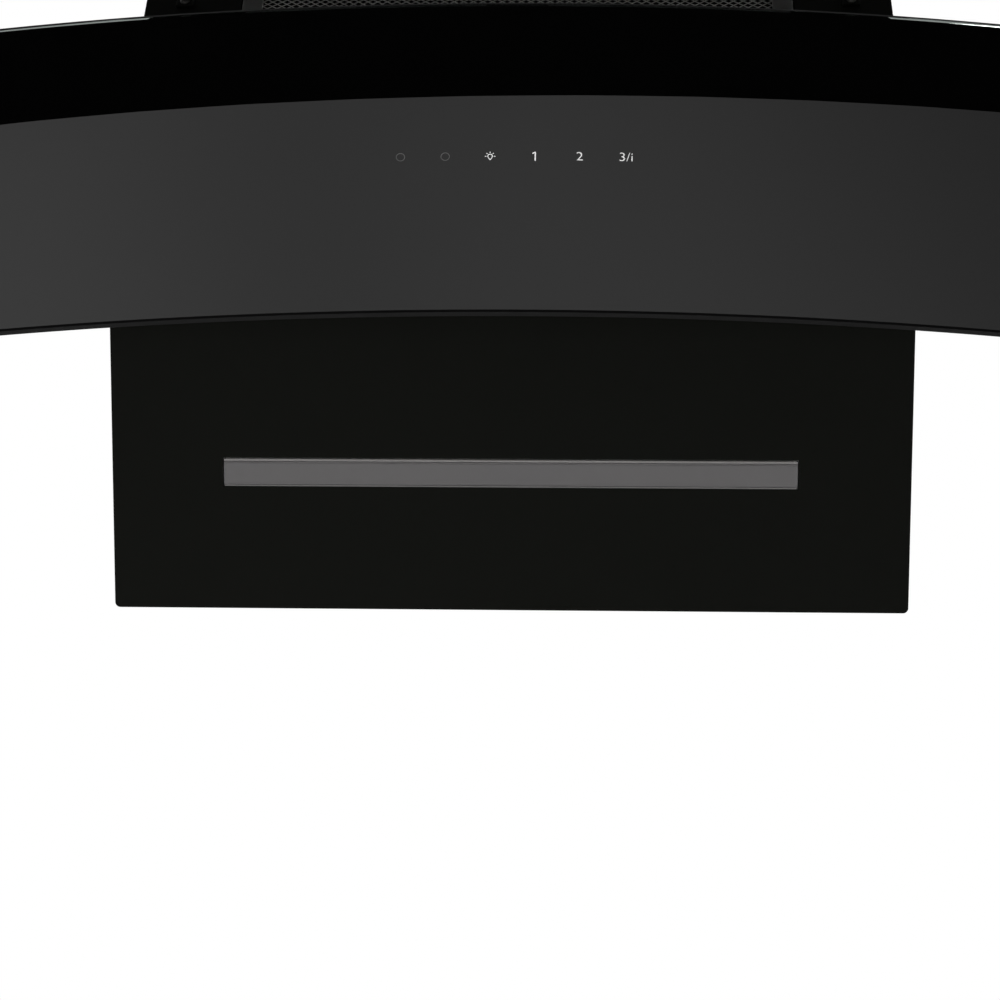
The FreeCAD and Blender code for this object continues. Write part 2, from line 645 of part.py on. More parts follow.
def front_screws():
    """Screw heads on the pads."""
    seat = Vector(PAD_X, FRONT_Y - PAD_THICKNESS, FOOT_Z + PAD_UP)
    return pair(rod(PAD_SCREW_RADIUS, seat, seat - Vector(0, PAD_SCREW_HEIGHT, 0)))


def spiral_face(inset, y):
    """Face of the fan's spiral and its outlet, drawn in by an inset."""
    step = SPIRAL_STEP / 2
    top = TOP_Z - SHEET
    centres = [(step, step), (step, -step), (-step, -step), (-step, step)]
    radii = [SPIRAL_OUTER - inset - SPIRAL_STEP * quarter for quarter in range(4)]
    stops = [0, -90, -180, -270, TONGUE_ANGLE - 360]

    def place(x, z):
        return Vector(FAN_X + x, y, FAN_Z + z)

    def on_arc(quarter, angle):
        turn = math.radians(angle)
        x, z = centres[quarter]
        return place(x + radii[quarter] * math.cos(turn), z + radii[quarter] * math.sin(turn))

    edges = []
    for quarter in range(4):
        first, last = stops[quarter], stops[quarter + 1]
        arc = Part.Arc(on_arc(quarter, first), on_arc(quarter, (first + last) / 2), on_arc(quarter, last))
        edges.append(arc.toShape())
    tongue = on_arc(3, stops[4])
    start = on_arc(0, stops[0])
    left = FAN_X + OUTLET_LEFT + inset
    neck = [Vector(left, y, top), Vector(start.x, y, top), start]
    if inset > 0:
        neck.insert(0, Vector(left, y, tongue.z))
    return Part.Face(Part.Wire(edges + Part.makePolygon([tongue] + neck).Edges))


def volute_half(plate_y, split_y):
    """Half of the fan's casing: a plate at one end and the spiral wall up to the split."""
    inward = math.copysign(1.0, split_y - plate_y)
    length = Vector(0, split_y - plate_y, 0)
    wall = spiral_face(0, plate_y).extrude(length).cut(spiral_face(FAN_WALL, plate_y).extrude(length))
    plate = spiral_face(0, plate_y).extrude(Vector(0, inward * FAN_WALL, 0))
    return wall.fuse(plate).removeSplitter()


def volute_front():
    """Front half of the fan's casing, with the air inlet."""
    start = Vector(FAN_X, FAN_FRONT_Y, FAN_Z)
    return volute_half(FAN_FRONT_Y, FAN_SPLIT_Y).cut(rod(INLET_RADIUS, start, start + Vector(0, FAN_WALL, 0)))


def inlet_ring():
    """Ring round the air inlet."""
    face = Vector(FAN_X, FAN_FRONT_Y, FAN_Z)
    back = face + Vector(0, INLET_DEPTH, 0)
    front = face - Vector(0, INLET_WALL, 0)
    lip = pipe(INLET_RADIUS + INLET_LIP, INLET_RADIUS - INLET_WALL, front, face)
    return lip.fuse(pipe(INLET_RADIUS, INLET_RADIUS - INLET_WALL, face, back)).removeSplitter()


def fan_posts():
    """Posts that hold the fan off the back panel."""
    posts = []
    for side in (-1, 1):
        for rise in (-1, 1):
            foot = Vector(FAN_X + side * POST_SPREAD_X, -SHEET, FAN_Z + rise * POST_SPREAD_Z)
            posts.append(rod(POST_RADIUS, foot, Vector(foot.x, FAN_REAR_Y, foot.z)))
    return Part.makeCompound(posts)


def motor():
    """Motor on the fan's back plate, with the shaft's bore."""
    seat = Vector(FAN_X, FAN_REAR_Y - FAN_WALL, FAN_Z)
    front = Vector(FAN_X, MOTOR_FRONT_Y, FAN_Z)
    tip = Vector(FAN_X, MOTOR_BOSS_Y, FAN_Z)
    body = rod(MOTOR_RADIUS, seat, front).fuse(rod(MOTOR_BOSS_RADIUS, front, tip))
    return body.cut(rod(SHAFT_RADIUS + RUNNING_GAP, tip, tip + Vector(0, MOTOR_BORE_DEPTH, 0)))


def motor_screws():
    """Screw heads on the motor's front face."""
    heads = []
    for step in range(3):
        turn = math.radians(90 + 120 * step)
        seat = Vector(FAN_X + MOTOR_SCREW_CIRCLE * math.cos(turn), MOTOR_FRONT_Y,
                      FAN_Z + MOTOR_SCREW_CIRCLE * math.sin(turn))
        heads.append(rod(MOTOR_SCREW_RADIUS, seat, seat - Vector(0, MOTOR_SCREW_HEIGHT, 0)))
    return Part.makeCompound(heads)


def motor_shaft():
    """Shaft from the motor through the hub and the nut."""
    start = Vector(FAN_X, MOTOR_BOSS_Y + MOTOR_BORE_DEPTH - HUB_GAP, FAN_Z)
    return rod(SHAFT_RADIUS, start, Vector(FAN_X, HUB_FRONT_Y - NUT_LENGTH - SHAFT_END, FAN_Z))


def impeller():
    """Fan wheel: a hub disc, two rings and a row of leaning blades."""
    middle = Vector(FAN_X, 0, FAN_Z)
    front = (FAN_REAR_Y + FAN_FRONT_Y) / 2 - IMPELLER_LENGTH / 2
    rear = front + IMPELLER_LENGTH

    def ring(y0, y1, inner):
        return pipe(IMPELLER_RADIUS, inner, middle + Vector(0, y0, 0), middle + Vector(0, y1, 0))

    disc_y = (HUB_REAR_Y + HUB_FRONT_Y) / 2
    hub_ends = [middle + Vector(0, y, 0) for y in (HUB_FRONT_Y, HUB_REAR_Y)]
    wheel = [ring(front, front + IMPELLER_RING, IMPELLER_INNER_RADIUS),
             ring(rear - IMPELLER_RING, rear, IMPELLER_INNER_RADIUS),
             ring(disc_y - HUB_DISC / 2, disc_y + HUB_DISC / 2, SHAFT_RADIUS),
             pipe(HUB_RADIUS, SHAFT_RADIUS, hub_ends[0], hub_ends[1])]
    mid_radius = (IMPELLER_RADIUS + IMPELLER_INNER_RADIUS) / 2
    half_chord = (IMPELLER_RADIUS - IMPELLER_INNER_RADIUS) / 2
    for step in range(BLADE_COUNT):
        blade = box(mid_radius - half_chord, mid_radius + half_chord, front, rear,
                    -BLADE_THICKNESS / 2, BLADE_THICKNESS / 2)
        blade.rotate(Vector(mid_radius, 0, 0), Vector(0, 1, 0), BLADE_ANGLE)
        blade.rotate(Vector(0, 0, 0), Vector(0, 1, 0), 360 * step / BLADE_COUNT)
        blade.translate(middle)
        wheel.append(blade)
    return wheel[0].fuse(wheel[1:])


def impeller_nut():
    """Nut that holds the impeller on its shaft."""
    start = Vector(FAN_X, HUB_FRONT_Y, FAN_Z)
    end = start - Vector(0, NUT_LENGTH, 0)
    return hexagon_bar(NUT_RADIUS, start, end).cut(rod(SHAFT_RADIUS, start, end))


def control_box():
    """Open tray on the back panel for the control board."""
    half = BOX_WIDTH / 2
    low = FOOT_Z + BOX_UP - BOX_HEIGHT / 2
    high = FOOT_Z + BOX_UP + BOX_HEIGHT / 2
    front = -SHEET - BOX_DEPTH
    tray = box(BOX_X - half, BOX_X + half, front, -SHEET, low, high)
    return tray.cut(box(BOX_X - half + BOX_WALL, BOX_X + half - BOX_WALL, front, -SHEET - BOX_WALL,
                        low + BOX_WALL, high - BOX_WALL))


def control_lid():
    """Lid on the control box."""
    half = BOX_WIDTH / 2
    low = FOOT_Z + BOX_UP - BOX_HEIGHT / 2
    front = -SHEET - BOX_DEPTH
    return box(BOX_X - half, BOX_X + half, front - BOX_WALL, front, low, low + BOX_HEIGHT)


def control_board():
    """Control board on four standoffs in its box."""
    half = BOX_WIDTH / 2 - BOX_WALL - SEAT_GAP
    low = FOOT_Z + BOX_UP - BOX_HEIGHT / 2 + BOX_WALL + SEAT_GAP
    high = FOOT_Z + BOX_UP + BOX_HEIGHT / 2 - BOX_WALL - SEAT_GAP
    floor = -SHEET - BOX_WALL
    back = floor - BOARD_STANDOFF
    board = box(BOX_X - half, BOX_X + half, back - BOARD_THICKNESS, back, low, high)
    inset = BOARD_STANDOFF
    for x in (BOX_X - half + inset, BOX_X + half - inset):
        for z in (low + inset, high - inset):
            board = board.fuse(rod(BOARD_STANDOFF / 2, Vector(x, floor, z), Vector(x, back, z)))
    return board


def capacitor():
    """Motor capacitor, upright in its clip."""
    foot = Vector(CAPACITOR_X, -SHEET - CLIP_THICKNESS - CAPACITOR_RADIUS, FOOT_Z + CAPACITOR_UP)
    return rod(CAPACITOR_RADIUS, foot, foot + Vector(0, 0, CAPACITOR_LENGTH))


def capacitor_clip():
    """Band round the capacitor with a foot on the back panel."""
    middle = Vector(CAPACITOR_X, -SHEET - CLIP_THICKNESS - CAPACITOR_RADIUS,
                    FOOT_Z + CAPACITOR_UP + (CAPACITOR_LENGTH - CLIP_HEIGHT) / 2)
    top = middle + Vector(0, 0, CLIP_HEIGHT)
    outer = CAPACITOR_RADIUS + CLIP_THICKNESS
    foot = box(CAPACITOR_X - outer, CAPACITOR_X + outer, -SHEET - CLIP_THICKNESS, -SHEET, middle.z, top.z)
    return rod(outer, middle, top).fuse(foot).cut(rod(CAPACITOR_RADIUS, middle, top))


def cable_gland():
    """Gland through the top panel for the mains lead."""
    seat = Vector(GLAND_X, -GLAND_BACK, TOP_Z)
    nut_top = seat + Vector(0, 0, GLAND_NUT_HEIGHT)
    top = seat + Vector(0, 0, GLAND_HEIGHT)
    under = seat - Vector(0, 0, SHEET)
    bottom = under - Vector(0, 0, GLAND_NUT_HEIGHT)
    gland = hexagon_bar(GLAND_NUT_RADIUS, seat, nut_top).fuse(rod(GLAND_THREAD_RADIUS, bottom, top))
    gland = gland.fuse(hexagon_bar(GLAND_NUT_RADIUS, bottom, under))
    return gland.cut(rod(GLAND_BORE_RADIUS, bottom, top))


def collar_point(x, y, up):
    """Point measured from the collar's axis and up from the top panel."""
    return Vector(x, y - COLLAR_BACK, TOP_Z + up)


def outlet_collar():
    """Duct collar with a flange, a ledge for the damper flaps and blind holes for the spindle."""
    foot = collar_point(0, 0, 0)
    collar = pipe(COLLAR_RADIUS, COLLAR_BORE, foot, collar_point(0, 0, COLLAR_HEIGHT))
    brim = collar_point(0, 0, COLLAR_FLANGE_THICKNESS)
    flange = pipe(COLLAR_RADIUS + COLLAR_FLANGE, COLLAR_BORE, foot, brim)
    ledge_top = SPINDLE_UP - FLAP_THICKNESS / 2 - SEAT_GAP
    ledge = pipe(COLLAR_RADIUS, COLLAR_BORE - LEDGE_WIDTH, collar_point(0, 0, ledge_top - LEDGE_HEIGHT),
                 collar_point(0, 0, ledge_top))
    collar = collar.fuse(flange).fuse(ledge).removeSplitter()
    reach = COLLAR_BORE + SPINDLE_SEAT + FIXED_GAP
    ends = [collar_point(side * reach, 0, SPINDLE_UP) for side in (-1, 1)]
    return collar.cut(rod(SPINDLE_RADIUS + FIXED_GAP, ends[0], ends[1]))


def collar_screws():
    """Screw heads on the collar's flange."""
    circle = COLLAR_RADIUS + COLLAR_FLANGE / 2
    heads = []
    for step in range(4):
        turn = math.radians(45 + 90 * step)
        seat = collar_point(circle * math.cos(turn), circle * math.sin(turn), COLLAR_FLANGE_THICKNESS)
        heads.append(rod(COLLAR_SCREW_RADIUS, seat, seat + Vector(0, 0, COLLAR_SCREW_HEIGHT)))
    return Part.makeCompound(heads)


def damper_spindle():
    """Rod across the collar that the flaps turn on."""
    reach = COLLAR_BORE + SPINDLE_SEAT
    return rod(SPINDLE_RADIUS, collar_point(-reach, 0, SPINDLE_UP), collar_point(reach, 0, SPINDLE_UP))


def damper_flap(side):
    """Half-round flap on one side of the spindle, with its two knuckles."""
    radius = COLLAR_BORE - FLAP_GAP
    low = collar_point(0, 0, SPINDLE_UP - FLAP_THICKNESS / 2)
    high = collar_point(0, 0, SPINDLE_UP + FLAP_THICKNESS / 2)
    edge = side * (KNUCKLE_RADIUS + FLAP_GAP)
    half_room = box(-radius, radius, low.y + edge, low.y + side * radius, low.z, high.z)
    flap = rod(radius, low, high).common(half_room)
    starts = [KNUCKLE_GAP / 2, -KNUCKLE_GAP * 1.5 - 2 * KNUCKLE_LENGTH]
    for start in starts:
        near = side * start
        far = side * (start + KNUCKLE_LENGTH)
        ends = [collar_point(near, 0, SPINDLE_UP), collar_point(far, 0, SPINDLE_UP)]
        web = box(near, far, low.y, low.y + edge, low.z, high.z)
        flap = flap.fuse(web).fuse(rod(KNUCKLE_RADIUS, ends[0], ends[1]))
        flap = flap.cut(rod(SPINDLE_RADIUS + RUNNING_GAP, ends[0], ends[1]))
    return flap.removeSplitter()


def chimney_cover(half_width, depth, low, high):
    """Three-sided sheet cover, open at the wall."""
    cover = box(-half_width, half_width, -depth, -SHEET, low, high)
    return cover.cut(box(-half_width + SHEET, half_width - SHEET, -depth + SHEET, -SHEET, low, high))


UPPER_INSET = SHEET + SLIDE_GAP
UPPER_HALF = CHIMNEY_WIDTH / 2 - UPPER_INSET
UPPER_LOW = TOP_Z + UPPER_START
UPPER_HIGH = UPPER_LOW + UPPER_HEIGHT


def chimney_foot_brackets():
    """Angles that hold the lower cover on the top panel."""
    face = CHIMNEY_WIDTH / 2 - SHEET
    thick = FOOT_BRACKET_THICKNESS
    y0 = -CHIMNEY_DEPTH / 2 - FOOT_BRACKET_WIDTH / 2
    y1 = y0 + FOOT_BRACKET_WIDTH
    upright = box(face - thick, face, y0, y1, TOP_Z, TOP_Z + FOOT_BRACKET_HEIGHT)
    foot = box(face - FOOT_BRACKET_HEIGHT, face, y0, y1, TOP_Z, TOP_Z + thick)
    return pair(upright.fuse(foot).removeSplitter())


def chimney_wall_bracket():
    """Strip on the wall inside the upper cover, with two screw holes and end tabs."""
    half = UPPER_HALF - SHEET
    high = UPPER_HIGH - WALL_BRACKET_DROP
    low = high - WALL_BRACKET_HEIGHT
    strip = box(-half, half, -SHEET, 0, low, high)
    for side in (-1, 1):
        x = side * half
        strip = strip.fuse(box(x - side * SHEET, x, -WALL_BRACKET_TAB, 0, low, high))
        hole = Vector(side * WALL_HOLE_SPACING / 2, 0, (low + high) / 2)
        strip = strip.cut(rod(WALL_HOLE_RADIUS, hole - Vector(0, SHEET, 0), hole))
    return strip.removeSplitter()


def chimney_screws():
    """Screw heads that hold the upper cover to its wall bracket."""
    z = UPPER_HIGH - WALL_BRACKET_DROP - WALL_BRACKET_HEIGHT / 2
    seat = Vector(UPPER_HALF, -WALL_BRACKET_TAB / 2, z)
    return pair(rod(CHIMNEY_SCREW_RADIUS, seat, seat + Vector(CHIMNEY_SCREW_HEIGHT, 0, 0)))


def top_screws():
    """Screw heads at the corners of the top panel."""
    heads = []
    for y in (FRONT_Y + TOP_SCREW_MARGIN, -TOP_SCREW_MARGIN):
        seat = Vector(HALF_WIDTH - TOP_SCREW_MARGIN, y, TOP_Z)
        heads.append(rod(TOP_SCREW_RADIUS, seat, seat + Vector(0, 0, TOP_SCREW_HEIGHT)))
    return Part.makeCompound(heads + [mirrored(head) for head in heads])


MESH_FRONT_Y = FRONT_Y + MESH_INSET
CORE_Y = MESH_FRONT_Y + MESH_THICKNESS
MESH_STEP = Vector(0, MESH_THICKNESS + CORE_THICKNESS, 0)
front_mesh = mesh_sheet(MESH_FRONT_Y)

pieces = {
    "back_panel": back_panel(),
    "side_panel_right": side_panel(),
    "side_panel_left": mirrored(side_panel()),
    "top_panel": top_panel(),
    "front_frame": front_frame(),
    "lower_panel": lower_panel(),
    "top_screws": top_screws(),
    "light_channel": light_channel(),
    "light_end_caps": light_end_caps(),
    "light_diffuser": light_diffuser(),
    "light_board": light_board(),
    "glass_panel": glass_panel(),
    "visor_rail_lower": visor_rail(LOWER_RAIL_UP),
    "visor_rail_upper": visor_rail(UPPER_RAIL_UP),
    "visor_arm_right": visor_arm(),
    "visor_arm_left": mirrored(visor_arm()),
    "arm_screws": arm_screws(),
    "touch_housing": touch_housing(),
    "touch_board": touch_board(),
    "hinge_bracket_right": hinge_bracket(),
    "hinge_bracket_left": mirrored(hinge_bracket()),
    "hinge_pins": hinge_pins(),
    "visor_bumpers": visor_bumpers(),
    "filter_frame": filter_frame(),
    "filter_mesh_front": front_mesh,
    "filter_core": filter_sheet(CORE_Y, CORE_THICKNESS),
    "filter_mesh_rear": front_mesh.translated(MESH_STEP),
    "filter_latch": filter_latch(),
    "filter_latch_spring": filter_latch_spring(),
    "filter_sockets": filter_sockets(),
    "filter_stops": filter_stops(),
    "front_pads": front_pads(),
    "front_screws": front_screws(),
    "volute_rear": volute_half(FAN_REAR_Y, FAN_SPLIT_Y),
    "volute_front": volute_front(),
    "inlet_ring": inlet_ring(),
    "fan_posts": fan_posts(),
    "motor": motor(),
    "motor_screws": motor_screws(),
    "motor_shaft": motor_shaft(),
    "impeller": impeller(),
    "impeller_nut": impeller_nut(),
    "control_box": control_box(),
    "control_lid": control_lid(),
    "control_board": control_board(),
    "capacitor": capacitor(),
    "capacitor_clip": capacitor_clip(),
    "cable_gland": cable_gland(),
    "outlet_collar": outlet_collar(),
    "collar_screws": collar_screws(),
    "damper_spindle": damper_spindle(),
    "damper_flap_front": damper_flap(-1),
    "damper_flap_rear": damper_flap(1),
    "chimney_lower": chimney_cover(CHIMNEY_WIDTH / 2, CHIMNEY_DEPTH, TOP_Z, TOP_Z + CHIMNEY_HEIGHT),
    "chimney_foot_brackets": chimney_foot_brackets(),
    "chimney_upper": chimney_cover(UPPER_HALF, CHIMNEY_DEPTH - UPPER_INSET, UPPER_LOW, UPPER_HIGH),
    "chimney_wall_bracket": chimney_wall_bracket(),
    "chimney_screws": chimney_screws(),
}

os.makedirs("parts", exist_ok=True)
for name, shape in pieces.items():
    shape.exportStep(os.path.join("parts", name + ".step"))
    print(name, len(shape.Solids), round(shape.Volume, 1))
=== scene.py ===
import math

import bmesh
import bpy
from mathutils import Matrix, Vector


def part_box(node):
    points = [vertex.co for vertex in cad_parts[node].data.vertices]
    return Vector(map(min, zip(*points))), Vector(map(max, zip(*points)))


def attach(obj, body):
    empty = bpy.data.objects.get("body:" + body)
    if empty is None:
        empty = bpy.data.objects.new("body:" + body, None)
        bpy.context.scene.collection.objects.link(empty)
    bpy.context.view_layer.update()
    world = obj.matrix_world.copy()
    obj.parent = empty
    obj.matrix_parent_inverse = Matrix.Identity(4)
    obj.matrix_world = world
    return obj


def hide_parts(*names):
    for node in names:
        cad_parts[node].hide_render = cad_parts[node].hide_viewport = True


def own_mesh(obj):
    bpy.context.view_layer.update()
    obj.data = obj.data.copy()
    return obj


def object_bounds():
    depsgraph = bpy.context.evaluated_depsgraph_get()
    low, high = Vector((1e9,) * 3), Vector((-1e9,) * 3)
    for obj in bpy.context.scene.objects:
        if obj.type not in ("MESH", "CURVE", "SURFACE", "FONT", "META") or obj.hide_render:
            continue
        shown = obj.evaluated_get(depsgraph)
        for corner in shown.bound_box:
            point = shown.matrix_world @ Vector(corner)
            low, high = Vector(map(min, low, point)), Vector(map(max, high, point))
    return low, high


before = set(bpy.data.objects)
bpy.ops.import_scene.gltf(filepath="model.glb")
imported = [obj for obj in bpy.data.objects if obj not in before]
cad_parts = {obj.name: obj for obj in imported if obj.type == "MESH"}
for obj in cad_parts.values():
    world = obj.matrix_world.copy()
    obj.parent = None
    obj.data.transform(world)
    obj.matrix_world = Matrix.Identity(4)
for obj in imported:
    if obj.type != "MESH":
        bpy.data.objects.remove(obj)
cad_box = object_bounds()

# Casing: 1 mm steel sheets, laser cut, folded and spot welded into a wedge on the wall.
# The outside is powder coated in a dead matt black; the coat softens every cut edge.

MM = 0.001
MERGE = 0.001 * MM  # corners closer than this are one
SHEET_EDGE = 0.25 * MM  # rounding that the coat gives a cut edge
FLAT_ANGLE = math.radians(0.5)  # facets that meet below this are one flat face
CURVE_ANGLE = math.radians(35)  # and below this, one curved face
COAT_SPECK = 0.9  # mm between the peaks of the coat's fine grain
COAT_CLOUD = 60.0  # mm across the faint clouds of a sprayed coat
UP = Vector((0, 0, 1))
FRONT = Vector((0, -1, 0))
SIDE = Vector((1, 0, 0))
LEAN = math.radians(42)  # lean of the lower panel and of the glass from the vertical
ALONG = Vector((0, -math.sin(LEAN), math.cos(LEAN)))
OUT = Vector((0, -math.cos(LEAN), -math.sin(LEAN)))
FOOT = Vector((0, -6.1 * MM, -380 * MM))  # lower panel's front edge
TIP_CLEAR = 4.3 * MM  # up the lower panel, past its rounded corners
TIP_RISE = math.radians(37)  # rise of the cut from the panel to the wall


def tint(code):
    """Linear colour of an sRGB hex value."""
    parts = [int(code[step:step + 2], 16) / 255 for step in (0, 2, 4)]
    return [part / 12.92 if part <= 0.04045 else ((part + 0.055) / 1.055) ** 2.4 for part in parts] + [1.0]


def per_mm(size):
    """Pattern scale, in repeats to the metre, of a pattern whose real size is in millimetres."""
    return 1 / (size * MM)


def add(tree, kind, values=None, links=None, **settings):
    """Add a node with its settings, its fixed inputs and the sockets that feed it."""
    node = tree.nodes.new(kind)
    for name, value in settings.items():
        setattr(node, name, value)
    for name, value in (values or {}).items():
        node.inputs[name].default_value = value
    for name, socket in (links or {}).items():
        tree.links.new(socket, node.inputs[name])
    return node


def new_material(name, **sockets):
    """Material with one main shader; each keyword is a socket's name with underscores for spaces."""
    material = bpy.data.materials.new(name)
    material.use_nodes = True
    shader = material.node_tree.nodes["Principled BSDF"]
    for socket, value in sockets.items():
        shader.inputs[socket.replace("_", " ")].default_value = value
    return material, material.node_tree, shader


def rough_skin(tree, shader, speck, depth, low, high, stretch=(1, 1, 1)):
    """Fine relief of one grain size, in mm, that also makes the gloss uneven between two values."""
    place = add(tree, "ShaderNodeTexCoord")
    turned = add(tree, "ShaderNodeMapping", {"Scale": stretch}, {"Vector": place.outputs["Object"]})
    grain = add(tree, "ShaderNodeTexNoise", {"Scale": per_mm(speck), "Detail": 3.0, "Roughness": 0.55},
                {"Vector": turned.outputs["Vector"]})
    relief = add(tree, "ShaderNodeBump", {"Strength": 1.0, "Distance": depth * MM},
                 {"Height": grain.outputs["Fac"]})
    gloss = add(tree, "ShaderNodeMapRange", {"To Min": low, "To Max": high}, {"Value": grain.outputs["Fac"]})
    tree.links.new(relief.outputs["Normal"], shader.inputs["Normal"])
    tree.links.new(gloss.outputs["Result"], shader.inputs["Roughness"])
    return place


def clouded(tree, shader, place, size, dark, light):
    """Colour that drifts between two close shades in clouds of one size, in mm."""
    cloud = add(tree, "ShaderNodeTexNoise", {"Scale": per_mm(size), "Detail": 4.0},
                {"Vector": place.outputs["Object"]})
    shade = add(tree, "ShaderNodeMix", {6: tint(dark), 7: tint(light)}, {0: cloud.outputs["Fac"]},
                data_type="RGBA")
    tree.links.new(shade.outputs[2], shader.inputs["Base Color"])


def verts_in(items):
    """The corners among what an operator made."""
    return [item for item in items if isinstance(item, bmesh.types.BMVert)]


def eased(node, width, segments=2, cut=None):
    """Copy of a CAD node's shape with its sharp edges rounded, and trimmed by a plane if one is given."""
    bm = bmesh.new()
    bm.from_mesh(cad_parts[node].data)
    bmesh.ops.remove_doubles(bm, verts=bm.verts, dist=MERGE)
    bmesh.ops.dissolve_limit(bm, angle_limit=FLAT_ANGLE, verts=bm.verts, edges=bm.edges)
    if cut:
        whole = bm.verts[:] + bm.edges[:] + bm.faces[:]
        point, way = cut
        trimmed = bmesh.ops.bisect_plane(bm, geom=whole, plane_co=point, plane_no=way, clear_outer=True)
        rim = [item for item in trimmed["geom_cut"] if isinstance(item, bmesh.types.BMEdge)]
        bmesh.ops.holes_fill(bm, edges=rim)
    sharp = [edge for edge in bm.edges if edge.is_manifold and edge.calc_face_angle() >= CURVE_ANGLE]
    made = bmesh.ops.bevel(bm, geom=sharp, offset=width, offset_type="OFFSET", segments=segments,
                           profile=0.5, affect="EDGES", material=-1, clamp_overlap=True)
    rounded = set(made["faces"])
    for face in bm.faces:
        face.smooth = True
    for edge in bm.edges:
        kinds = {face in rounded for face in edge.link_faces}
        edge.smooth = len(kinds) == 1 and edge.is_manifold and edge.calc_face_angle() < CURVE_ANGLE
    return bm


def place_piece(bm, name, material, body, slot, *nodes):
    """Make a bmesh a piece that rides on a body, has a finish and stands for CAD nodes."""
    mesh = bpy.data.meshes.new(name)
    bm.to_mesh(mesh)
    bm.free()
    for each in material if isinstance(material, list) else [material]:
        mesh.materials.append(each)
    piece = bpy.data.objects.new(name, mesh)
    bpy.context.scene.collection.objects.link(piece)
    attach(piece, body)
    if nodes:
        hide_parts(*nodes)
    return piece


def eased_piece(node, name, width, material, body, slot, **shape):
    """Piece in the place of one CAD node, with the node's own shape and softer edges."""
    return place_piece(eased(node, width, **shape), name, material, body, slot, node)


def dress(material, *nodes):
    """Give CAD nodes that keep their own shape a finish."""
    for node in nodes:
        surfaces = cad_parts[node].data.materials
        surfaces.clear()
        surfaces.append(material)


# Matt polyester powder on steel: no mirror image, a very weak sheen and a barely uneven deep black.
powder_coat, tree, shader = new_material("matt_powder_coat", Specular_IOR_Level=0.11,
                                         Specular_Tint=(0.98, 1.0, 0.89, 1))
place = rough_skin(tree, shader, speck=COAT_SPECK, depth=0.02, low=0.46, high=0.58)
clouded(tree, shader, place, size=COAT_CLOUD, dark="080907", light="0B0C0A")

for panel in ("lower_panel", "front_frame", "top_panel"):
    eased_piece(panel, panel + "_sheet", SHEET_EDGE, powder_coat, "casing", "black_steel")
# The sheets behind the lower panel are cut back at the foot, so that its rounded corners stand free.
tip = (FOOT + ALONG * TIP_CLEAR, Vector((0, math.sin(TIP_RISE), -math.cos(TIP_RISE))))
for panel in ("side_panel_left", "side_panel_right", "back_panel"):
    eased_piece(panel, panel + "_sheet", SHEET_EDGE, powder_coat, "casing", "black_steel", cut=tip)

# Screws: pressed steel pan heads with a cross recess, blackened on the outside.
# They close the top panel's corners, hold the visor's arms and clamp the pads and the chimney.

HEAD_RADIUS = 4 * MM
HEAD_HEIGHT = 2 * MM
RECESS_SHARE = 0.62  # of the head's radius that the cross recess spans
RECESS_TAPER = 0.72  # width of the recess's floor for that of its mouth
RECESS_DEPTH = 0.6  # of the head's height
RIM_HEIGHT = 0.45  # of the head's height, where the dome starts
DRIVE_CELLS = 7  # cells across the grid that the head is shaped from


def solid_boxes(node):
    """Lowest and highest corner of each separate solid in a CAD node."""
    bm = bmesh.new()
    bm.from_mesh(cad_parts[node].data)
    bmesh.ops.remove_doubles(bm, verts=bm.verts, dist=MERGE)
    left = set(bm.verts)
    boxes = []
    while left:
        group = [left.pop()]
        for vert in group:
            near = {edge.other_vert(vert) for edge in vert.link_edges} & left
            left -= near
            group.extend(near)
        boxes.append([Vector(map(pick, zip(*(vert.co for vert in group)))) for pick in (min, max)])
    bm.free()
    return sorted(boxes, key=lambda box: tuple(box[0]))


def pan_head(bm, middle, out, height):
    """Domed screw head with a cross recess, about a middle point and facing out."""
    verts = bmesh.ops.create_grid(bm, x_segments=DRIVE_CELLS, y_segments=DRIVE_CELLS, size=1.0)["verts"]
    faces = {face for vert in verts for face in vert.link_faces}
    cell = 1 / DRIVE_CELLS
    cross = [face for face in faces if min(map(abs, face.calc_center_median()[:2])) < cell
             and max(map(abs, face.calc_center_median()[:2])) < 1 - 2 * cell]
    rim = [edge for face in faces for edge in face.edges if edge.is_boundary]
    for vert in verts:
        if max(abs(vert.co.x), abs(vert.co.y)) > 1 - cell:
            vert.co.normalize()
        else:
            vert.co *= RECESS_SHARE / (1 - 2 * cell)
        vert.co.z = 1 - (1 - RIM_HEIGHT) * vert.co.length ** 2
    pressed = bmesh.ops.extrude_face_region(bm, geom=cross)["geom"]
    bmesh.ops.delete(bm, geom=[face for face in cross if face.is_valid], context="FACES")
    floor = verts_in(pressed)
    for vert in floor:
        vert.co.x *= RECESS_TAPER
        vert.co.y *= RECESS_TAPER
        vert.co.z = 1 - RECESS_DEPTH
    skirt = bmesh.ops.extrude_edge_only(bm, edges=list(set(rim)))["geom"]
    foot = verts_in(skirt)
    for vert in foot:
        vert.co.z = 0
    size = Matrix.Diagonal((HEAD_RADIUS, HEAD_RADIUS, height, 1))
    seat = Matrix.Translation(middle - out * height / 2)
    turn = out.to_track_quat("Z", "Y").to_matrix().to_4x4()
    bmesh.ops.transform(bm, matrix=seat @ turn @ size, verts=verts + floor + foot)


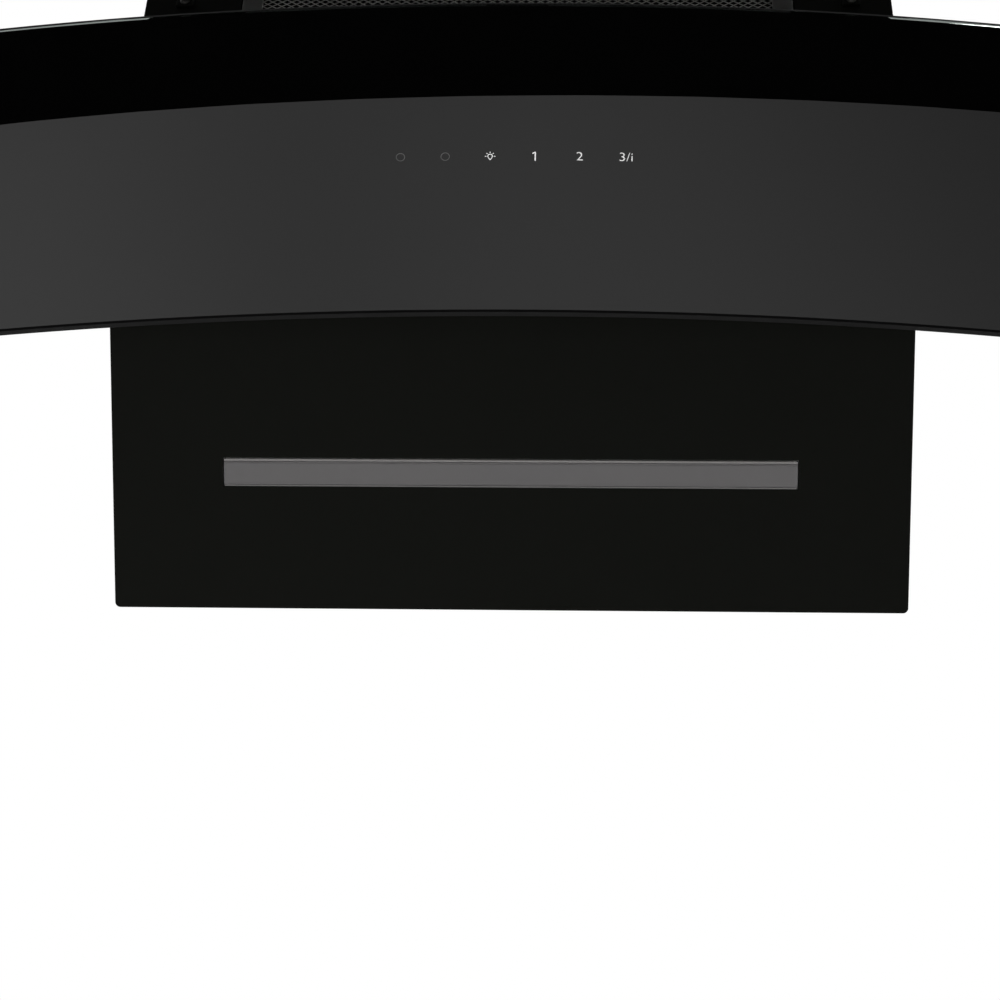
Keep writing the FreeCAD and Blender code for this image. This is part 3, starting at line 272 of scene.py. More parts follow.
def screw_set(node, out, height, body):
    """All the pan heads of one CAD node, as one piece."""
    bm = bmesh.new()
    for low, high in solid_boxes(node):
        way = out if low.x + high.x > 0 or not out.x else Vector((-out.x, out.y, out.z))
        pan_head(bm, (low + high) / 2, way.normalized(), height)
    bmesh.ops.recalc_face_normals(bm, faces=bm.faces)
    for face in bm.faces:
        face.smooth = True
    for edge in bm.edges:
        edge.smooth = not edge.is_manifold or edge.calc_face_angle() < CURVE_ANGLE
    place_piece(bm, node + "_heads", black_zinc, body, "fastener", node)


# Black zinc plating: a dark metal with soft, slightly grainy reflections.
black_zinc, tree, shader = new_material("black_zinc", Metallic=1.0)
place = rough_skin(tree, shader, speck=0.5, depth=0.004, low=0.3, high=0.45)
clouded(tree, shader, place, size=4.0, dark="74736F", light="82817E")

screw_set("top_screws", UP, HEAD_HEIGHT, "casing")

# Light strip: an aluminium channel behind the lower panel's slot, a circuit board with the lights
# on its floor, and a smoked acrylic cover, extruded with a bead along its upper edge, that snaps in
# from the front.

COVER_HALF = 214.7 * MM
COVER_LOW = 93.0 * MM  # cover's lower edge, up the slope
COVER_HIGH = 113.6 * MM
COVER_FACE = -0.8 * MM  # behind the panel's face
COVER_BACK = -4.0 * MM
COVER_CORNER = 1.6 * MM
BEAD = 1.7 * MM  # height of the bead along the upper edge
BEAD_CREST = 0.51 * MM  # from the upper edge down to the bead's crest
BEAD_RISE = 0.5 * MM  # crest, out from the cover's face
BEAD_LIP = 0.3 * MM  # upper edge, out from the cover's face
LOWER_BEAD = 0.9 * MM
GROOVE = 0.55 * MM
GROOVE_DEPTH = 0.9 * MM
FINE_DEPTH = 0.3 * MM  # of the lower, finer groove below the bead
RIDGE = 0.7 * MM  # between the two grooves below the bead
ALIGNED = 0.99  # how nearly an edge runs in a direction for it to count as along it
DRAWN = (0.02, 1, 1)  # stretches a grain into lines along the hood's width


def on_slope(x, along, out):
    """Point at a distance up the lower panel's slope and out from its front face."""
    return FOOT + Vector((x, 0, 0)) + ALONG * along + OUT * out


def way_of(edge, direction):
    """How far an edge runs in a direction: 1 along it, 0 square to it."""
    return abs((edge.verts[1].co - edge.verts[0].co).normalized().dot(direction))


def bar_of(bm, outline, half):
    """Straight bar across the middle with one outline, in places up the slope and out from it."""
    ring = [bm.verts.new(on_slope(-half, along, out)) for along, out in outline]
    end = bm.faces.new(ring)
    far = bmesh.ops.extrude_face_region(bm, geom=[end], use_keep_orig=True)["geom"]
    moved = verts_in(far)
    bmesh.ops.translate(bm, verts=moved, vec=(2 * half, 0, 0))
    bmesh.ops.recalc_face_normals(bm, faces=bm.faces)


# Extruded acrylic, smoked grey and milky: a soft sheen over an even colour, finely drawn along its length.
smoked_acrylic, tree, shader = new_material("smoked_acrylic", IOR=1.49, Specular_IOR_Level=0.4)
place = rough_skin(tree, shader, speck=0.6, depth=0.002, low=0.36, high=0.44, stretch=DRAWN)
clouded(tree, shader, place, size=90.0, dark="706E6F", light="757373")
# The beads get a paler shade of it: a painted highlight along them, where light catches the beads.
painted_highlight_acrylic, tree, shader = new_material("painted_highlight_acrylic", IOR=1.49, Specular_IOR_Level=0.4)
place = rough_skin(tree, shader, speck=0.6, depth=0.002, low=0.3, high=0.4, stretch=DRAWN)
clouded(tree, shader, place, size=90.0, dark="908E8D", light="969493")

bm = bmesh.new()
groove = COVER_FACE - GROOVE_DEPTH
bead_top = COVER_LOW + LOWER_BEAD
ridge_top = COVER_HIGH - BEAD - GROOVE
ridge_foot = ridge_top - RIDGE
bar_of(bm, [(COVER_LOW, COVER_BACK), (COVER_LOW, COVER_FACE), (bead_top, COVER_FACE),
            (bead_top + GROOVE / 2, groove), (bead_top + GROOVE, COVER_FACE),
            (ridge_foot - GROOVE, COVER_FACE), (ridge_foot - GROOVE / 2, COVER_FACE - FINE_DEPTH),
            (ridge_foot, COVER_FACE), (ridge_top, COVER_FACE), (ridge_top + GROOVE / 2, groove),
            (COVER_HIGH - BEAD, COVER_FACE), (COVER_HIGH - BEAD_CREST, COVER_FACE + BEAD_RISE),
            (COVER_HIGH, COVER_FACE + BEAD_LIP), (COVER_HIGH, COVER_BACK)], COVER_HALF)
corners = [edge for edge in bm.edges
           if way_of(edge, OUT) > ALIGNED and edge.calc_length() > -COVER_BACK / 2]
bmesh.ops.bevel(bm, geom=corners, offset=COVER_CORNER, offset_type="OFFSET", segments=3, profile=0.5,
                affect="EDGES", material=-1)
# The beads, with the cover's upper and lower edges, take the paler shade as painted highlight.
for face in bm.faces:
    along = (face.calc_center_median() - FOOT).dot(ALONG)
    face.material_index = int(along > ridge_top + GROOVE / 2 or along < bead_top)
place_piece(bm, "light_cover", [smoked_acrylic, painted_highlight_acrylic], "casing", "opal", "light_diffuser")

# Mill-finish aluminium extrusion: bright metal with fine lines along its length.
drawn_aluminium, tree, shader = new_material("drawn_aluminium", Metallic=1.0)
place = rough_skin(tree, shader, speck=0.4, depth=0.004, low=0.3, high=0.42, stretch=DRAWN)
clouded(tree, shader, place, size=30.0, dark="A9A9A6", light="B9B9B7")
dress(drawn_aluminium, "light_channel", "light_end_caps")

# Glass-epoxy circuit board under green solder mask: a smooth green with a faint weave below it.
solder_mask, tree, shader = new_material("green_solder_mask", Coat_Weight=0.3)
place = rough_skin(tree, shader, speck=0.5, depth=0.003, low=0.32, high=0.42)
clouded(tree, shader, place, size=2.0, dark="1D4A2C", light="245834")
dress(solder_mask, "light_board", "touch_board", "control_board")

# Visor hinges: folded steel brackets welded to the lower panel, turned pins through them,
# and two rubber buffers that the visor's arms close against.

PART_EDGE = 0.4 * MM  # rounding on small folded and moulded parts
BUFFER_EDGE = 1.2 * MM
TURNED = (1, 0.2, 0.2)  # stretches a grain into rings round a pin that lies across

for side in ("left", "right"):
    bracket = "hinge_bracket_" + side
    eased_piece(bracket, bracket + "_folded", PART_EDGE, powder_coat, "casing", "black_steel")

# Turned and polished steel: plain grey metal with fine rings from the lathe.
turned_steel, tree, shader = new_material("turned_steel", Metallic=1.0)
place = rough_skin(tree, shader, speck=0.3, depth=0.002, low=0.22, high=0.34, stretch=TURNED)
clouded(tree, shader, place, size=12.0, dark="8E8E8D", light="9C9C9B")
eased_piece("hinge_pins", "hinge_pin_pair", PART_EDGE, turned_steel, "casing", "fastener")

# Moulded rubber: dark, dull and slightly dusty, with a fine moulded grain.
rubber, tree, shader = new_material("moulded_rubber", Specular_IOR_Level=0.3)
place = rough_skin(tree, shader, speck=0.6, depth=0.02, low=0.7, high=0.85)
clouded(tree, shader, place, size=8.0, dark="151515", light="1D1D1C")
eased_piece("visor_bumpers", "visor_buffers", BUFFER_EDGE, rubber, "casing", "rubber", segments=4)

# Visor glass: a 5 mm float-glass plate, bent to a wide arc, toughened and ground along its edges.
# Its back is printed in black enamel, so it looks black from the front, and only a narrow rim along
# the upper edge is clear. Bonded rails carry it.

GLASS_HALF = 449 * MM
GLASS_THICK = 5 * MM
GLASS_RADIUS = 3000 * MM
GLASS_CORNER = 8 * MM
GLASS_LENGTH = 219.2 * MM
GLASS_START = 225.2 * MM  # glass's lower edge, up the slope of the lower panel
GLASS_OUT = 30 * MM  # glass's front face off the lower panel's plane at the middle
GLASS_ARRIS = 1.1 * MM  # ground flat along the edges
PRINT_MARGIN = 1.4 * MM  # clear rim outside the print
PRINT_SUNK = 0.25 * MM  # keeps the print in front of what is bonded to the back
ARC_STEPS = 96
ARC_ANGLE = math.radians(12)  # facets of the arc and the corners meet below this
FACING = 0.9  # how square to the plate a face is for it to be a front or a back
FRONT_LEAN = 0.97  # the same for the front face alone, without its arris
ARRIS_LEAN = 0.86  # the same for the arris along the lower edge and the ends
SEAM_LEAN = 0.3  # the same for the upper edge's arris


def on_glass(x, up, lift=0.0):
    """Point on the glass's front face, a way across it and up it, lifted off it by a little."""
    sag = GLASS_RADIUS - math.sqrt(GLASS_RADIUS ** 2 - x ** 2)
    return on_slope(x, GLASS_START + up, GLASS_OUT + lift) + Vector((0, sag, 0))


bm = bmesh.new()
corner = bm.verts.new(on_glass(-GLASS_HALF, 0))
centre = on_glass(0, 0) + Vector((0, GLASS_RADIUS, 0))
sweep = 2 * math.asin(GLASS_HALF / GLASS_RADIUS)
bmesh.ops.spin(bm, geom=[corner], cent=centre, axis=UP, angle=sweep, steps=ARC_STEPS)
deep = bmesh.ops.extrude_edge_only(bm, edges=bm.edges[:])["geom"]
bmesh.ops.translate(bm, verts=verts_in(deep), vec=(0, GLASS_THICK / math.cos(LEAN), 0))
tall = bmesh.ops.extrude_face_region(bm, geom=bm.faces[:], use_keep_orig=True)["geom"]
bmesh.ops.translate(bm, verts=verts_in(tall), vec=ALONG * GLASS_LENGTH)
bmesh.ops.recalc_face_normals(bm, faces=bm.faces)
rear = {vert for face in bm.faces if face.normal.dot(OUT) < -FACING for vert in face.verts}
square = [vert for vert in tall if vert in rear]
bmesh.ops.translate(bm, verts=square, vec=ALONG * GLASS_THICK * math.tan(LEAN))
tips = {vert for vert in bm.verts if abs(abs(vert.co.x) - GLASS_HALF) < 10 * MERGE}
ends = [edge for edge in bm.edges if tips.issuperset(edge.verts) and way_of(edge, ALONG) < FACING]
bmesh.ops.bevel(bm, geom=ends, offset=GLASS_CORNER, offset_type="OFFSET", segments=8, profile=0.5,
                affect="EDGES", material=-1)
edges = [edge for edge in bm.edges if edge.calc_face_angle() > CURVE_ANGLE]
bmesh.ops.bevel(bm, geom=edges, offset=GLASS_ARRIS, offset_type="OFFSET", segments=1, profile=0.5,
                affect="EDGES", material=-1)
back = [face for face in bm.faces if face.normal.dot(OUT) < -FACING]
front = [face for face in bm.faces if face.normal.dot(OUT) > FACING]
bmesh.ops.inset_region(bm, faces=back, thickness=PRINT_MARGIN, depth=-PRINT_SUNK, use_even_offset=True)
bmesh.ops.inset_region(bm, faces=front, thickness=PRINT_MARGIN, use_even_offset=True)
clear_from = on_glass(0, GLASS_LENGTH - 2 * PRINT_MARGIN).z
CLEAR, PRINTED, BACKED, GROUND, SEAMED = range(5)  # the plate's finishes, in the order it is given them
for face in bm.faces:
    lean = face.normal.dot(OUT)
    if face.calc_center_median().z > clear_from:
        face.material_index = SEAMED if SEAM_LEAN < lean < FRONT_LEAN else CLEAR
    elif lean > FRONT_LEAN:
        face.material_index = BACKED
    else:
        face.material_index = PRINTED if lean > ARRIS_LEAN or lean < -FACING else GROUND
    face.smooth = True
for edge in bm.edges:
    edge.smooth = edge.calc_face_angle() < ARC_ANGLE

# Toughened float glass: tinted a soft grey, perfectly smooth.
float_glass, tree, shader = new_material("float_glass", IOR=1.52, Roughness=0.0, Transmission_Weight=1.0,
                                         Base_Color=tint("868C89"))
# Fired black enamel: bonded to the glass, so it has no shine of its own from the front.
black_enamel, tree, shader = new_material("black_enamel", Specular_IOR_Level=0.05)
place = rough_skin(tree, shader, speck=0.8, depth=0.004, low=0.5, high=0.6)
clouded(tree, shader, place, size=40.0, dark="040404", light="060606")
# The same print seen through the front of the glass: black under the glass's own clear mirror image.
backed_glass, tree, shader = new_material("backed_glass", IOR=1.52, Roughness=0.0)
place = add(tree, "ShaderNodeTexCoord")
clouded(tree, shader, place, size=40.0, dark="030303", light="050505")
# Ground glass edge over the print: dark grey under a satin grind.
ground_edge, tree, shader = new_material("ground_glass_edge", IOR=1.52, Specular_IOR_Level=0.12)
place = rough_skin(tree, shader, speck=0.4, depth=0.003, low=0.26, high=0.36)
clouded(tree, shader, place, size=10.0, dark="222222", light="2A2A2A")
# Seamed glass: the upper edge is only run over a belt, which leaves its arris matt and paler.
seamed_edge, tree, shader = new_material("seamed_glass_edge", IOR=1.52, Specular_IOR_Level=0.2)
place = rough_skin(tree, shader, speck=0.4, depth=0.006, low=0.5, high=0.62)
clouded(tree, shader, place, size=10.0, dark="2C2C2C", light="343434")
place_piece(bm, "glass_plate", [float_glass, black_enamel, backed_glass, ground_edge, seamed_edge], "visor",
            "black_glass", "glass_panel")

# Touch symbols: two rings, a lamp, 1, 2 and 3/i in one row, screen printed in white and grey ink.
# Each is a film of ink that follows the glass's arc.

SYMBOL_ROW = 110.9 * MM  # above the glass's lower edge
SYMBOL_STEP = 32.4 * MM  # from one symbol to the next
SYMBOL_HEIGHT = 6.4 * MM
SYMBOL_ASIDE = 2.5 * MM  # how far the row sits to the right of the middle
INK_LIFT = 0.02 * MM
INK_FILM = 0.04 * MM
RING_RADIUS = 3.3 * MM
RING_LINE = 0.5 * MM
RING_STEPS = 40
LAMP_RADIUS = 2.0 * MM
LAMP_LINE = 0.65 * MM
LAMP_POINT = 1.1 * MM  # how far the bulb's foot is drawn down
LAMP_NECK = 0.5  # share of its width that the bulb loses there
RAYS = 5
RAY_TURN = math.radians(45)
RAY_START = 2.65 * MM
RAY_LENGTH = 1.1 * MM
RAY_LINE = 0.6 * MM
SYMBOL_FLAT = 0.87  # height of the rings and the lamp for their width
STROKE_TRIM = 0.07 * MM  # taken off each side of a numeral's strokes
NUMERAL_WIDEN = 1.24
NUMERAL_SHARE = 0.73  # a numeral's height for the size of its typeface
NUMERAL_ONE = ((0.09, -0.5), (0.09, 0.5), (-0.03, 0.5), (-0.3, 0.38), (-0.3, 0.26), (-0.05, 0.35),
               (-0.05, -0.5))  # outline of the 1, in heights of a numeral


def ring_flat(bm, radius, line, point=0.0):
    """Flat ring round the origin; a point draws its foot down like a bulb's neck."""
    inner = bmesh.ops.create_circle(bm, segments=RING_STEPS, radius=radius - line)["verts"]
    outer = bmesh.ops.create_circle(bm, segments=RING_STEPS, radius=radius)["verts"]
    edges = {edge for vert in inner + outer for edge in vert.link_edges}
    bmesh.ops.bridge_loops(bm, edges=list(edges))
    for vert in inner + outer:
        low = max(0.0, -vert.co.y / radius)
        vert.co.x *= 1 - LAMP_NECK * low if point else 1
        vert.co.y = SYMBOL_FLAT * (vert.co.y - point * low)


def symbol(bm, name, step, ink):
    """Lay a flat drawing on the glass, some steps along the row, and give the ink its thickness."""
    for face in bm.faces:
        if face.normal.z < 0:
            face.normal_flip()
    film = bmesh.ops.extrude_face_region(bm, geom=bm.faces[:], use_keep_orig=True)["geom"]
    top = set(verts_in(film))
    for vert in bm.verts:
        lift = INK_LIFT + (INK_FILM if vert in top else 0.0)
        vert.co = on_glass(SYMBOL_ASIDE + step * SYMBOL_STEP + vert.co.x, SYMBOL_ROW + vert.co.y, lift)
    bmesh.ops.recalc_face_normals(bm, faces=bm.faces)
    place_piece(bm, name, ink, "visor", "black_glass")


def words_flat(text, height):
    """Flat mesh of a short text, centred on the origin."""
    curve = bpy.data.curves.new("drawing", "FONT")
    curve.body = text
    curve.size = height / NUMERAL_SHARE
    curve.offset = -STROKE_TRIM
    curve.align_x = "CENTER"
    curve.align_y = "CENTER"
    drawing = bpy.data.objects.new("drawing", curve)
    bpy.context.scene.collection.objects.link(drawing)
    bpy.context.view_layer.update()
    graph = bpy.context.evaluated_depsgraph_get()
    mesh = bpy.data.meshes.new_from_object(drawing.evaluated_get(graph))
    bm = bmesh.new()
    bm.from_mesh(mesh)
    bmesh.ops.remove_doubles(bm, verts=bm.verts, dist=MERGE)
    bmesh.ops.scale(bm, vec=(NUMERAL_WIDEN, 1, 1), verts=bm.verts)
    bpy.data.objects.remove(drawing)
    bpy.data.curves.remove(curve)
    bpy.data.meshes.remove(mesh)
    return bm


# White screen-printing ink: an even, slightly chalky film, with a faint painted glow: it gives off a little
# light of its own.
white_ink_painted_glow, tree, shader = new_material("white_ink_painted_glow", Specular_IOR_Level=0.3, Emission_Color=(1, 1, 1, 1),
                                       Emission_Strength=0.3)
place = rough_skin(tree, shader, speck=0.3, depth=0.003, low=0.5, high=0.62)
clouded(tree, shader, place, size=3.0, dark="EEEEED", light="F6F6F5")
# Grey screen-printing ink: the same film, smoother and without the painted glow, so it barely shows on the
# black.
grey_ink, tree, shader = new_material("grey_ink", Specular_IOR_Level=0.5)
place = rough_skin(tree, shader, speck=0.3, depth=0.003, low=0.3, high=0.4)
clouded(tree, shader, place, size=3.0, dark="686868", light="727272")

for name, step in (("timer_ring", -2.5), ("child_lock_ring", -1.5)):
    bm = bmesh.new()
    ring_flat(bm, RING_RADIUS, RING_LINE)
    symbol(bm, name, step, grey_ink)

bm = bmesh.new()
ring_flat(bm, LAMP_RADIUS, LAMP_LINE, point=LAMP_POINT)
for count in range(RAYS):
    ray = bmesh.ops.create_grid(bm, x_segments=1, y_segments=1, size=0.5)["verts"]
    bmesh.ops.scale(bm, vec=(RAY_LENGTH, RAY_LINE, 1), verts=ray)
    bmesh.ops.translate(bm, vec=(RAY_START + RAY_LENGTH / 2, 0, 0), verts=ray)
    bmesh.ops.rotate(bm, cent=(0, 0, 0), matrix=Matrix.Rotation(RAY_TURN * count, 3, "Z"), verts=ray)
    bmesh.ops.scale(bm, vec=(1, SYMBOL_FLAT, 1), verts=ray)
symbol(bm, "lamp_symbol", -0.5, white_ink_painted_glow)

bm = bmesh.new()
bm.faces.new([bm.verts.new(Vector((x, y, 0)) * SYMBOL_HEIGHT) for x, y in NUMERAL_ONE])
symbol(bm, "speed_1", 0.5, white_ink_painted_glow)
for name, text, step in (("speed_2", "2", 1.49), ("speed_3", "3/i", 2.52)):
    symbol(words_flat(text, SYMBOL_HEIGHT), name, step, white_ink_painted_glow)

# Visor carrier: two curved aluminium rails bonded to the glass, two steel arms screwed to them that end
# in the hinge eyes, and a moulded tray for the touch board.

# Black anodised extrusion: a dark metal sheen, drawn out in fine lines along the rail.
black_anodised, tree, shader = new_material("black_anodised_aluminium", Metallic=1.0)
place = rough_skin(tree, shader, speck=0.4, depth=0.003, low=0.34, high=0.46, stretch=DRAWN)
clouded(tree, shader, place, size=25.0, dark="1E1E1E", light="262626")
for rail in ("visor_rail_lower", "visor_rail_upper"):
    eased_piece(rail, rail + "_bonded", PART_EDGE, black_anodised, "visor", "aluminium")
for side in ("left", "right"):
    arm = "visor_arm_" + side
    eased_piece(arm, arm + "_bent", PART_EDGE, powder_coat, "visor", "black_steel")
screw_set("arm_screws", -OUT, HEAD_HEIGHT, "visor")

# Moulded ABS: deep black with a fine spark-eroded grain and a low satin sheen.
black_abs, tree, shader = new_material("black_abs", Specular_IOR_Level=0.4)
place = rough_skin(tree, shader, speck=0.45, depth=0.012, low=0.45, high=0.6)
clouded(tree, shader, place, size=30.0, dark="121212", light="171717")
eased_piece("touch_housing", "touch_tray", PART_EDGE, black_abs, "visor", "black_plastic")

# Grease filter: a folded aluminium frame round two sheets of fine expanded aluminium with more layers
# between. The strands of an expanded sheet are twisted out of its plane, which makes it glitter.
# It swings on two pins at its foot, and a sliding latch with a leaf spring holds its top.

CELL_LONG = 7.7 * MM  # diamond's long way, across
CELL_SHORT = 5.2 * MM  # diamond's short way, up
KNOT_HALF = 0.65 * MM  # half width of a knot where strands meet
KNOT_RISE = 0.2 * MM  # half height of a knot
TWIST = 0.26 * MM  # how far the strands' edges lean out of the sheet
STRAND_THICK = 0.3 * MM
SPRING_EDGE = 0.08 * MM


def expanded_sheet(node, name):
    """Sheet of twisted diamond mesh in the place of a CAD node: one cell, repeated across and up."""
    low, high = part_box(node)
    columns = round((high.x - low.x) / CELL_LONG)
    rows = round((high.z - low.z) / CELL_SHORT)
    wide = (high.x - low.x) / columns
    tall = (high.z - low.z) / rows
    middle = Vector((low.x + wide / 2, (low.y + high.y) / 2, low.z + tall / 2))
    bm = bmesh.new()
    hub = bm.verts.new(middle)
    for across, up in ((1, 1), (-1, 1), (-1, -1), (1, -1)):
        beside = bm.verts.new(middle + Vector((across * KNOT_HALF, 0, 0)))
        above = bm.verts.new(middle + Vector((0, -up * TWIST, up * KNOT_RISE)))
        corner = bm.verts.new(middle + Vector((across * wide / 2, 0, up * tall / 2)))
        side = bm.verts.new(corner.co + Vector((0, up * TWIST, -up * KNOT_RISE)))
        crest = bm.verts.new(corner.co - Vector((across * KNOT_HALF, 0, 0)))
        bm.faces.new([hub, beside, side, corner])
        bm.faces.new([hub, corner, crest, above])
    bmesh.ops.remove_doubles(bm, verts=bm.verts, dist=MERGE)
    bmesh.ops.recalc_face_normals(bm, faces=bm.faces)
    sheet = place_piece(bm, name, rolled_aluminium, "filter", "filter_aluminium", node)
    for label, step, count in (("across", (wide, 0, 0), columns), ("up", (0, 0, tall), rows)):
        repeat = sheet.modifiers.new(label, "ARRAY")
        repeat.use_relative_offset = False
        repeat.use_constant_offset = True
        repeat.constant_offset_displace = step
        repeat.count = count
        repeat.use_merge_vertices = True
        repeat.merge_threshold = 10 * MERGE
    wall = sheet.modifiers.new("thickness", "SOLIDIFY")
    wall.thickness = STRAND_THICK
    wall.offset = 0


# Rolled aluminium sheet: dull bright metal, finely scratched, a little dark from handling.
rolled_aluminium, tree, shader = new_material("rolled_aluminium", Metallic=1.0)
place = rough_skin(tree, shader, speck=0.5, depth=0.004, low=0.32, high=0.48)
clouded(tree, shader, place, size=35.0, dark="D2D2CF", light="DEDEDC")
expanded_sheet("filter_mesh_front", "filter_mesh_outer")
expanded_sheet("filter_mesh_rear", "filter_mesh_inner")
eased_piece("filter_frame", "filter_frame_folded", PART_EDGE, rolled_aluminium, "filter",
            "filter_aluminium")

# Stacked inner layers of the filter: aluminium coloured almost black as painted shade, the shade deep in the
# stack between the strands, with glints of the diamonds behind.
mesh_layers_painted_shade, tree, shader = new_material("mesh_layers_painted_shade", Metallic=0.9)
place = rough_skin(tree, shader, speck=1.4, depth=0.25, low=0.45, high=0.65)
clouded(tree, shader, place, size=2.2, dark="010101", light="060606")
dress(mesh_layers_painted_shade, "filter_core")
eased_piece("filter_latch", "filter_latch_slide", PART_EDGE, black_abs, "latch", "black_plastic")
# The leaf spring lies on the frame under the latch, which presses on it; here it keeps its own shape, on a
# mesh of its own.
spring = eased_piece("filter_latch_spring", "filter_latch_leaf", SPRING_EDGE, turned_steel, "filter",
                     "fastener")
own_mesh(spring)
dress(black_abs, "filter_sockets")
eased_piece("filter_stops", "filter_stop_tabs", SHEET_EDGE, powder_coat, "casing", "black_steel")

# Pads beside the filter: two small steel plates, powder coated with the casing.
# Each is clamped to the front frame by one screw with a higher head.

PAD_HEAD = 2.5 * MM  # height of that head

eased_piece("front_pads", "front_pad_pair", PART_EDGE, powder_coat, "casing", "black_steel", segments=3)
screw_set("front_screws", FRONT, PAD_HEAD, "casing")

# Fan: a moulded nylon spiral case on posts, with an inlet ring in front.
# In it a drum of curved blades is held by a nut on the shaft of a painted motor.

# Glass-filled nylon: dark grey, dull, with a streaky moulded skin.
fan_nylon, tree, shader = new_material("fan_nylon", Specular_IOR_Level=0.4)
place = rough_skin(tree, shader, speck=0.8, depth=0.01, low=0.5, high=0.62)
clouded(tree, shader, place, size=20.0, dark="444446", light="505052")
dress(fan_nylon, "volute_rear", "volute_front", "inlet_ring", "fan_posts", "impeller")
# Painted motor case: plain grey stoving enamel with a slight orange peel.
grey_enamel, tree, shader = new_material("grey_enamel")
place = rough_skin(tree, shader, speck=1.2, depth=0.01, low=0.35, high=0.45)
clouded(tree, shader, place, size=25.0, dark="84848A", light="8D8D92")
dress(grey_enamel, "motor")
dress(turned_steel, "motor_shaft", "impeller_nut", "motor_screws")

# Electrics: a moulded ABS control box with its lid, fixed inside the casing beside the fan.
# The motor's capacitor sits in a steel clip, and a moulded gland in the top panel passes the cable.

eased_piece("control_box", "control_tray", PART_EDGE, black_abs, "casing", "black_plastic")
eased_piece("control_lid", "control_cover", PART_EDGE, black_abs, "casing", "black_plastic")
# Polypropylene can: milky white with a soft sheen.
white_can, tree, shader = new_material("white_polypropylene")
place = rough_skin(tree, shader, speck=0.8, depth=0.006, low=0.35, high=0.48)
clouded(tree, shader, place, size=15.0, dark="D9D9D2", light="E2E2DC")
eased_piece("capacitor", "capacitor_can", PART_EDGE, white_can, "casing", "capacitor_case")
dress(turned_steel, "capacitor_clip")
eased_piece("cable_gland", "cable_gland_moulded", PART_EDGE, black_abs, "casing", "black_plastic")

# Outlet: a moulded ABS duct collar, screwed to the top panel.
# Two thin flaps hang on a steel spindle across it, and the fan's air lifts them.

dress(black_abs, "outlet_collar")
dress(turned_steel, "damper_spindle", "collar_screws")
eased_piece("damper_flap_front", "damper_leaf_front", SHEET_EDGE, black_abs, "flap_front", "black_plastic")
eased_piece("damper_flap_rear", "damper_leaf_rear", SHEET_EDGE, black_abs, "flap_rear", "black_plastic")

# Chimney: two three-sided covers of folded steel, one sliding in the other, powder coated like the
# casing. Zinc-plated angles hold the lower one, and a strip on the wall the upper one.

eased_piece("chimney_lower", "chimney_cover_lower", SHEET_EDGE, powder_coat, "casing", "black_steel")
eased_piece("chimney_upper", "chimney_cover_upper", SHEET_EDGE, powder_coat, "chimney_top", "black_steel")
# Zinc plate: pale bluish metal with a soft crystal pattern.
zinc_plate, tree, shader = new_material("zinc_plate", Metallic=1.0)
place = rough_skin(tree, shader, speck=1.5, depth=0.004, low=0.3, high=0.5)
clouded(tree, shader, place, size=7.0, dark="9A9DA0", light="B2B5B8")
dress(zinc_plate, "chimney_foot_brackets", "chimney_wall_bracket")
screw_set("chimney_screws", SIDE, HEAD_HEIGHT, "chimney_top")

# Studio: a pale floor as far below the hood as a kitchen's, white all round and soft lamps: one low over
# the floor, a long one in front, one on each side and one behind. A slightly bent black card in front
# shows only in mirror images.

FLOOR_DROP = 1550 * MM  # below the hood's lowest edge
FLOOR_HALF = 80.0  # metres, so that its edge is out of sight
CARD_MIDDLE = Vector((0.15, -2.681, 0))
CARD_BEND = 27.5  # radius of the card's bend
CARD_HALF = 6.0
CARD_TOP = 20.0
CARD_STEPS = 32
HOOD_MIDDLE = (0, 0, 0.2)  # what the lamps look at
AMBIENT = 0.28  # light from all round
BEAM = math.radians(60)  # spread of the lamps beside and behind the hood
FLOOR_GLOW = 0.76  # what the camera sees besides the light that falls on the floor

bpy.context.scene.view_settings.view_transform = "Standard"
floor_level = cad_box[0].z - FLOOR_DROP


def stage_sheet(name, bm, material):
    """Sheet that belongs to the studio and not to the hood."""
    mesh = bpy.data.meshes.new(name)
    bm.to_mesh(mesh)
    bm.free()
    mesh.materials.append(material)
    sheet = bpy.data.objects.new(name, mesh)
    bpy.context.scene.collection.objects.link(sheet)
    return sheet


# Seamless white paper: dead matt, and paler still where the camera looks straight at it.
pale_floor, tree, shader = new_material("pale_floor", Base_Color=tint("E6E6E6"), Roughness=0.9,
                                        Specular_IOR_Level=0.0, Emission_Color=(1, 1, 1, 1))
seen = add(tree, "ShaderNodeLightPath")
direct = add(tree, "ShaderNodeMath", None,
             {0: seen.outputs["Is Camera Ray"], 1: seen.outputs["Is Transmission Ray"]}, operation="MAXIMUM")
glow = add(tree, "ShaderNodeMapRange", {"To Max": FLOOR_GLOW}, {"Value": direct.outputs[0]})
tree.links.new(glow.outputs["Result"], shader.inputs["Emission Strength"])
# Black paper: dead matt, so the glass mirrors it as an even dark field.
black_card, tree, shader = new_material("black_card", Base_Color=tint("060606"), Roughness=0.9,
                                        Specular_IOR_Level=0.0)
bm = bmesh.new()
bmesh.ops.create_grid(bm, x_segments=1, y_segments=1, size=FLOOR_HALF,
                      matrix=Matrix.Translation(UP * floor_level))
stage_sheet("floor", bm, pale_floor)
bm = bmesh.new()
foot = CARD_MIDDLE + UP * floor_level
rim = bm.edges.new([bm.verts.new(foot), bm.verts.new(foot + UP * CARD_TOP)])
turn = CARD_HALF / CARD_BEND
pivot = CARD_MIDDLE - FRONT * CARD_BEND
bmesh.ops.rotate(bm, cent=pivot, matrix=Matrix.Rotation(-turn, 3, "Z"), verts=bm.verts)
bmesh.ops.spin(bm, geom=[rim, *rim.verts], cent=pivot, axis=UP, angle=2 * turn, steps=CARD_STEPS)
card = stage_sheet("card", bm, black_card)
card.visible_camera = False
card.visible_diffuse = False
card.visible_transmission = False
card.visible_shadow = False

